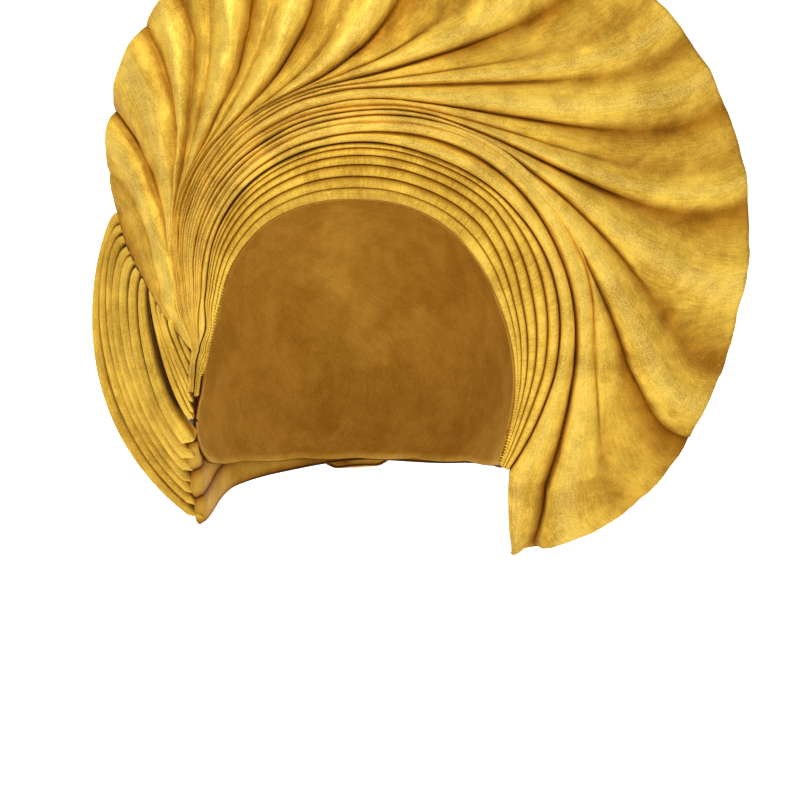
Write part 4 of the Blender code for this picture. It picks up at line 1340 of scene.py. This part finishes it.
class HeadTieCloth(PropertyGroup):
    """The gold cloth's colours and its weave."""

    light_gold: FloatVectorProperty(
        name="Light gold", description="Colour of the cloth where the thread catches light",
        subtype="COLOR", size=3, min=0.0, max=1.0, default=(1.0, 0.665, 0.092),
    )
    # Deep gold is both the colour between the threads, mixed in at random, and the painted shade multiplied
    # into the creases.
    deep_gold: FloatVectorProperty(
        name="Deep gold", description="Colour of the cloth between the threads and in the creases",
        subtype="COLOR", size=3, min=0.0, max=1.0, default=(0.47, 0.242, 0.020),
    )
    # A darker gold for the cap and the wrap: painted shade on the same cloth, not a different one.
    painted_shade_gold: FloatVectorProperty(
        name="Painted shade gold", description="Colour of the cap and the wrap, which the light reaches less",
        subtype="COLOR", size=3, min=0.0, max=1.0, default=(0.74, 0.44, 0.07),
    )
    # Glint is the colour of the painted highlight that the cloth mixes into its crests.
    glint: FloatVectorProperty(
        name="Glint", description="Colour of the worn thread along the crests",
        subtype="COLOR", size=3, min=0.0, max=1.0, default=(1.0, 0.78, 0.26),
    )
    thread_pitch: FloatProperty(
        name="Thread pitch", description="Distance from one rib of the weave to the next",
        subtype="DISTANCE", default=0.00105, min=0.0002, max=0.003, precision=5,
    )
    grain_scale: FloatProperty(
        name="Grain", description="How fine the cloth's grain is, in cells per metre",
        default=1600.0, min=50.0, max=3000.0,
    )
    speckle: FloatProperty(
        name="Speckle", description="How strongly single threads differ in colour",
        default=0.30, min=0.0, max=1.0,
    )
    roughness: FloatProperty(
        name="Roughness", description="How dull the thread is",
        subtype="FACTOR", default=0.62, min=0.0, max=1.0,
    )
    metal: FloatProperty(
        name="Metal", description="Share of metallic thread in the cloth",
        subtype="FACTOR", default=0.45, min=0.0, max=1.0,
    )
    sheen: FloatProperty(
        name="Sheen", description="Soft light along the cloth's turned edges",
        subtype="FACTOR", default=0.06, min=0.0, max=1.0,
    )


class HeadTieFolds(PropertyGroup):
    """How high and how crisp the folds are."""

    fold_rise: FloatProperty(
        name="Fold rise", description="Height of the widest folds of the fan",
        subtype="DISTANCE", default=0.013, min=0.0, max=0.02, precision=4,
    )
    fullness: FloatProperty(
        name="Fold fullness", description="How round the narrow folds are", default=1.7, min=0.5, max=3.0,
    )
    overhang: FloatProperty(
        name="Overhang", description="How far a fold hangs over the deep crease below it",
        default=1.1, min=0.0, max=2.0,
    )
    trough_level: FloatProperty(
        name="Trough level",
        description="Height of the flat troughs beside the deep creases, as a share of a fold's",
        default=0.28, min=0.0, max=1.0,
    )
    crease_level: FloatProperty(
        name="Crease level", description="Height of the shallow creases, as a share of what is left of them",
        default=0.45, min=0.0, max=1.0,
    )
    swell_height: FloatProperty(
        name="Swell height", description="Rise of the broad soft swells that run out to the rim",
        default=0.0046, unit="LENGTH", min=0.0,
    )
    slit_depth: FloatProperty(
        name="Slit depth", description="How far a deep crease sinks behind the fan's smooth surface",
        subtype="DISTANCE", default=0.0036, min=0.0, max=0.005, precision=4,
    )
    rim_ease: FloatProperty(
        name="Rim ease", description="Share of their height that the folds lose at the rim",
        default=0.66, min=0.0, max=1.0,
    )
    wrinkle_height: FloatProperty(
        name="Wrinkle height", description="Height of the small wrinkles between the creases",
        subtype="DISTANCE", default=0.0011, min=0.0, max=0.004, precision=5,
    )
    wrinkle_size: FloatProperty(
        name="Wrinkle size", description="Width of the small wrinkles",
        subtype="DISTANCE", default=0.011, min=0.002, max=0.05, precision=4,
    )
    layer_rise: FloatProperty(
        name="Layer rise", description="Height of the brow's layers, as a share of their grooves",
        default=1.5, min=0.0, max=2.0,
    )
    gather_rise: FloatProperty(
        name="Gather rise", description="Height of the soft gathers over the cap",
        subtype="DISTANCE", default=0.0014, min=0.0001, max=0.005, precision=4,
    )
    wrap_rise: FloatProperty(
        name="Wrap rise", description="Height of the folds of the nape wrap",
        subtype="DISTANCE", default=0.0028, min=0.0, max=0.006, precision=4,
    )
    knot_folds: IntProperty(
        name="Knot folds", description="Number of folds across the knot", default=7, min=1, max=20,
    )


class HeadTiePleats(PropertyGroup):
    """The pleats beside the face, and the ribs of the hem."""

    pleat_fullness: FloatProperty(
        name="Pleat fullness", description="Half width of a pleat, as a share of half its spacing",
        default=0.85, min=0.5, max=1.5,
    )
    pleat_limit: FloatProperty(
        name="Pleat limit", description="Most that half the width of a pleat may be",
        subtype="DISTANCE", default=0.0060, min=0.001, max=0.01, precision=4,
    )
    pleat_seat: FloatProperty(
        name="Pleat seat",
        description="How far out the pleats' middles stand from the cap side of the bundle",
        subtype="DISTANCE", default=0.0022, min=0.0, max=0.004, precision=4,
    )
    pleat_turn: FloatProperty(
        name="Pleat turn", description="How far the pleats' folded edges turn to the front, from 0 to 1",
        default=0.6, min=0.0, max=1.0,
    )
    under_depth: FloatProperty(
        name="Under pleats", description="How far the hidden pleats lie behind the shown ones",
        subtype="DISTANCE", default=0.0036, min=0.0, max=0.006, precision=4,
    )
    groove_depth: FloatProperty(
        name="Groove depth", description="How far the cloth between two shown pleats lies behind them",
        subtype="DISTANCE", default=0.0026, min=0.0, max=0.006, precision=4,
    )
    # Pleat shade scales the painted shade mask of the shown pleats: lower values paint their crests darker
    # against their sides.
    pleat_shade: FloatProperty(
        name="Pleat shade", description="How light a pleat's crest is against its sides",
        default=0.66, min=0.0, max=1.0,
    )
    pleat_sway: FloatProperty(
        name="Pleat sway", description="How far a pleat wanders from its path, as a share of its spacing",
        default=0.06, min=0.0, max=0.4,
    )
    fullness: FloatProperty(
        name="Crest fullness", description="Height of a pleat's crest, as a share of half its width",
        default=1.25, min=0.2, max=1.8,
    )
    flatten: FloatProperty(
        name="Pleat depth", description="Depth of a pleat behind its middle, as a share of half its width",
        default=2.2, min=0.1, max=5.0,
    )
    rib_spacing: FloatProperty(
        name="Rib spacing", description="Distance from one rib of the hem to the next",
        subtype="DISTANCE", default=0.0014, min=0.0005, max=0.01, precision=4,
    )
    rib_length: FloatProperty(
        name="Rib length", description="Length of the hem's ribs",
        subtype="DISTANCE", default=0.0028, min=0.001, max=0.01, precision=4,
    )
    rib_width: FloatProperty(
        name="Rib width", description="Width of the hem's ribs",
        subtype="DISTANCE", default=0.0007, min=0.0002, max=0.003, precision=4,
    )


class HeadTieStudio(PropertyGroup):
    """The studio round the head tie."""

    floor_colour: FloatVectorProperty(
        name="Floor", description="Colour of the plain floor",
        subtype="COLOR", size=3, min=0.0, max=1.0, default=(0.93, 0.93, 0.93),
    )
    floor_level: FloatProperty(
        name="Floor level", description="Height of the floor",
        subtype="DISTANCE", default=-0.45, min=-2.0, max=-0.16,
    )
    sky_strength: FloatProperty(
        name="Surrounding light", description="Strength of the white light from all round",
        default=0.18, min=0.0, max=3.0,
    )
    key_power: FloatProperty(
        name="Key light", description="Power of the soft light from the upper left",
        subtype="POWER", default=28.0, min=0.0, max=500.0,
    )
    fill_power: FloatProperty(
        name="Fill light", description="Power of the wide light from the right",
        subtype="POWER", default=7.5, min=0.0, max=500.0,
    )
    floor_glow: FloatProperty(
        name="Floor glow", description="Strength of the white light that the floor gives",
        default=0.30, min=0.0, max=2.0,
    )
    backdrop_glow: FloatProperty(
        name="Backdrop glow", description="Strength of the white light that the backdrop gives",
        default=1.0, min=0.0, max=5.0,
    )
    camera_distance: FloatProperty(
        name="Camera distance", description="How far in front of the crown the camera stands",
        subtype="DISTANCE", default=1.18, min=0.3, max=10.0,
    )
    camera_across: FloatProperty(
        name="Camera across", description="How far to the right of the crown the camera stands",
        subtype="DISTANCE", default=0.022, min=-1.0, max=1.0,
    )
    camera_height: FloatProperty(
        name="Camera height", description="Height of the camera, level with the temples",
        subtype="DISTANCE", default=-0.1166, min=-1.0, max=1.0,
    )
    camera_lens: FloatProperty(
        name="Camera lens", description="Focal length of the camera, in millimetres",
        default=112.5, min=10.0, max=400.0,
    )


# Operators


class HEADTIE_OT_cap(Operator):
    """Make the cap over the crown"""

    bl_idname = "head_tie.cap"
    bl_label = "Crown Cap"

    def execute(self, context):
        cap = make_cap(context.scene.head_tie_folds)
        finish_piece(cap, "crown_cap", cloth_named("deep_gold_cloth"))
        return {"FINISHED"}


class HEADTIE_OT_fan(Operator):
    """Make the wide fan of ruffled folds"""

    bl_idname = "head_tie.fan"
    bl_label = "Ruffled Fan"

    def execute(self, context):
        fan = make_fan(context.scene.head_tie_folds)
        finish_piece(fan, "ruffled_fan", cloth_named("gold_cloth"))
        return {"FINISHED"}


class HEADTIE_OT_band(Operator):
    """Make the stacked layers across the brow, and the ribs of their hem"""

    bl_idname = "head_tie.band"
    bl_label = "Brow Band"

    def execute(self, context):
        pleats = context.scene.head_tie_pleats
        gold = cloth_named("gold_cloth")
        band = make_band(context.scene.head_tie_folds)
        finish_piece(band, "brow_band", gold)
        lines, values = hem_lines()
        sizes = {
            "Spacing": pleats.rib_spacing,
            "Rib Length": pleats.rib_length,
            "Rib Width": pleats.rib_width,
        }
        hem = grown_piece("brow_hem_ribs", lines, values, hem_tree(), sizes, gold)
        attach(hem, "root")
        return {"FINISHED"}


class HEADTIE_OT_side_pleats(Operator):
    """Make the three bundles of pleats that hang beside the face"""

    bl_idname = "head_tie.side_pleats"
    bl_label = "Side Pleats"

    def execute(self, context):
        pleats = context.scene.head_tie_pleats
        gold = cloth_named("gold_cloth")
        tree = pleat_tree()
        sizes = {"Fullness": pleats.fullness, "Flatten": pleats.flatten, "Profile Points": 18}
        for node, first, last, count, flat in SIDE_BUNDLES:
            lines, values = pleat_lines(first, last, count, pleats)
            bundle = grown_piece(node + "_cloth", lines, values, tree, sizes, gold)
            finish_piece(bundle, node, gold)
        return {"FINISHED"}


class HEADTIE_OT_wrap(Operator):
    """Make the wrap round the nape and its knot"""

    bl_idname = "head_tie.wrap"
    bl_label = "Nape Wrap and Knot"

    def execute(self, context):
        folds = context.scene.head_tie_folds
        wrap = make_wrap(folds)
        finish_piece(wrap, "nape_wrap", cloth_named("deep_gold_cloth"))
        knot = make_knot(folds)
        finish_piece(knot, "nape_knot", cloth_named("gold_cloth"))
        return {"FINISHED"}


class HEADTIE_OT_studio(Operator):
    """Lay the pale floor and set the lights and the camera"""

    bl_idname = "head_tie.studio"
    bl_label = "Studio"

    def execute(self, context):
        studio = context.scene.head_tie_studio
        make_floor(studio)
        make_lights(studio)
        make_camera(studio)
        return {"FINISHED"}


class HEADTIE_PT_panel(Panel):
    """Lists the head tie's pieces and their sizes"""

    bl_idname = "HEADTIE_PT_panel"
    bl_label = "Tied Gele Head Tie"
    bl_space_type = "VIEW_3D"
    bl_region_type = "UI"
    bl_category = "Head Tie"

    def draw(self, context):
        column = self.layout.column()
        for piece in PIECES:
            column.operator(piece.bl_idname)
        for _, label in SETTINGS:
            box = self.layout.box()
            group = getattr(context.scene, label)
            for name in group.__annotations__:
                box.prop(group, name)


PIECES = (
    HEADTIE_OT_cap,
    HEADTIE_OT_band,
    HEADTIE_OT_fan,
    HEADTIE_OT_side_pleats,
    HEADTIE_OT_wrap,
    HEADTIE_OT_studio,
)
SETTINGS = (
    (HeadTieCloth, "head_tie_cloth"),
    (HeadTieFolds, "head_tie_folds"),
    (HeadTiePleats, "head_tie_pleats"),
    (HeadTieStudio, "head_tie_studio"),
)


def register():
    """Adds the settings, the operators and the panel."""
    for group, label in SETTINGS:
        bpy.utils.register_class(group)
        setattr(bpy.types.Scene, label, PointerProperty(type=group))
    for made in (*PIECES, HEADTIE_PT_panel):
        bpy.utils.register_class(made)


def unregister():
    """Takes them away again."""
    for made in (HEADTIE_PT_panel, *reversed(PIECES)):
        bpy.utils.unregister_class(made)
    for group, label in reversed(SETTINGS):
        delattr(bpy.types.Scene, label)
        bpy.utils.unregister_class(group)


def main():
    """Builds the whole head tie and its studio."""
    register()
    bpy.ops.head_tie.cap()
    bpy.ops.head_tie.band()
    bpy.ops.head_tie.fan()
    bpy.ops.head_tie.side_pleats()
    bpy.ops.head_tie.wrap()
    bpy.ops.head_tie.studio()


if __name__ == "__main__":
    main()
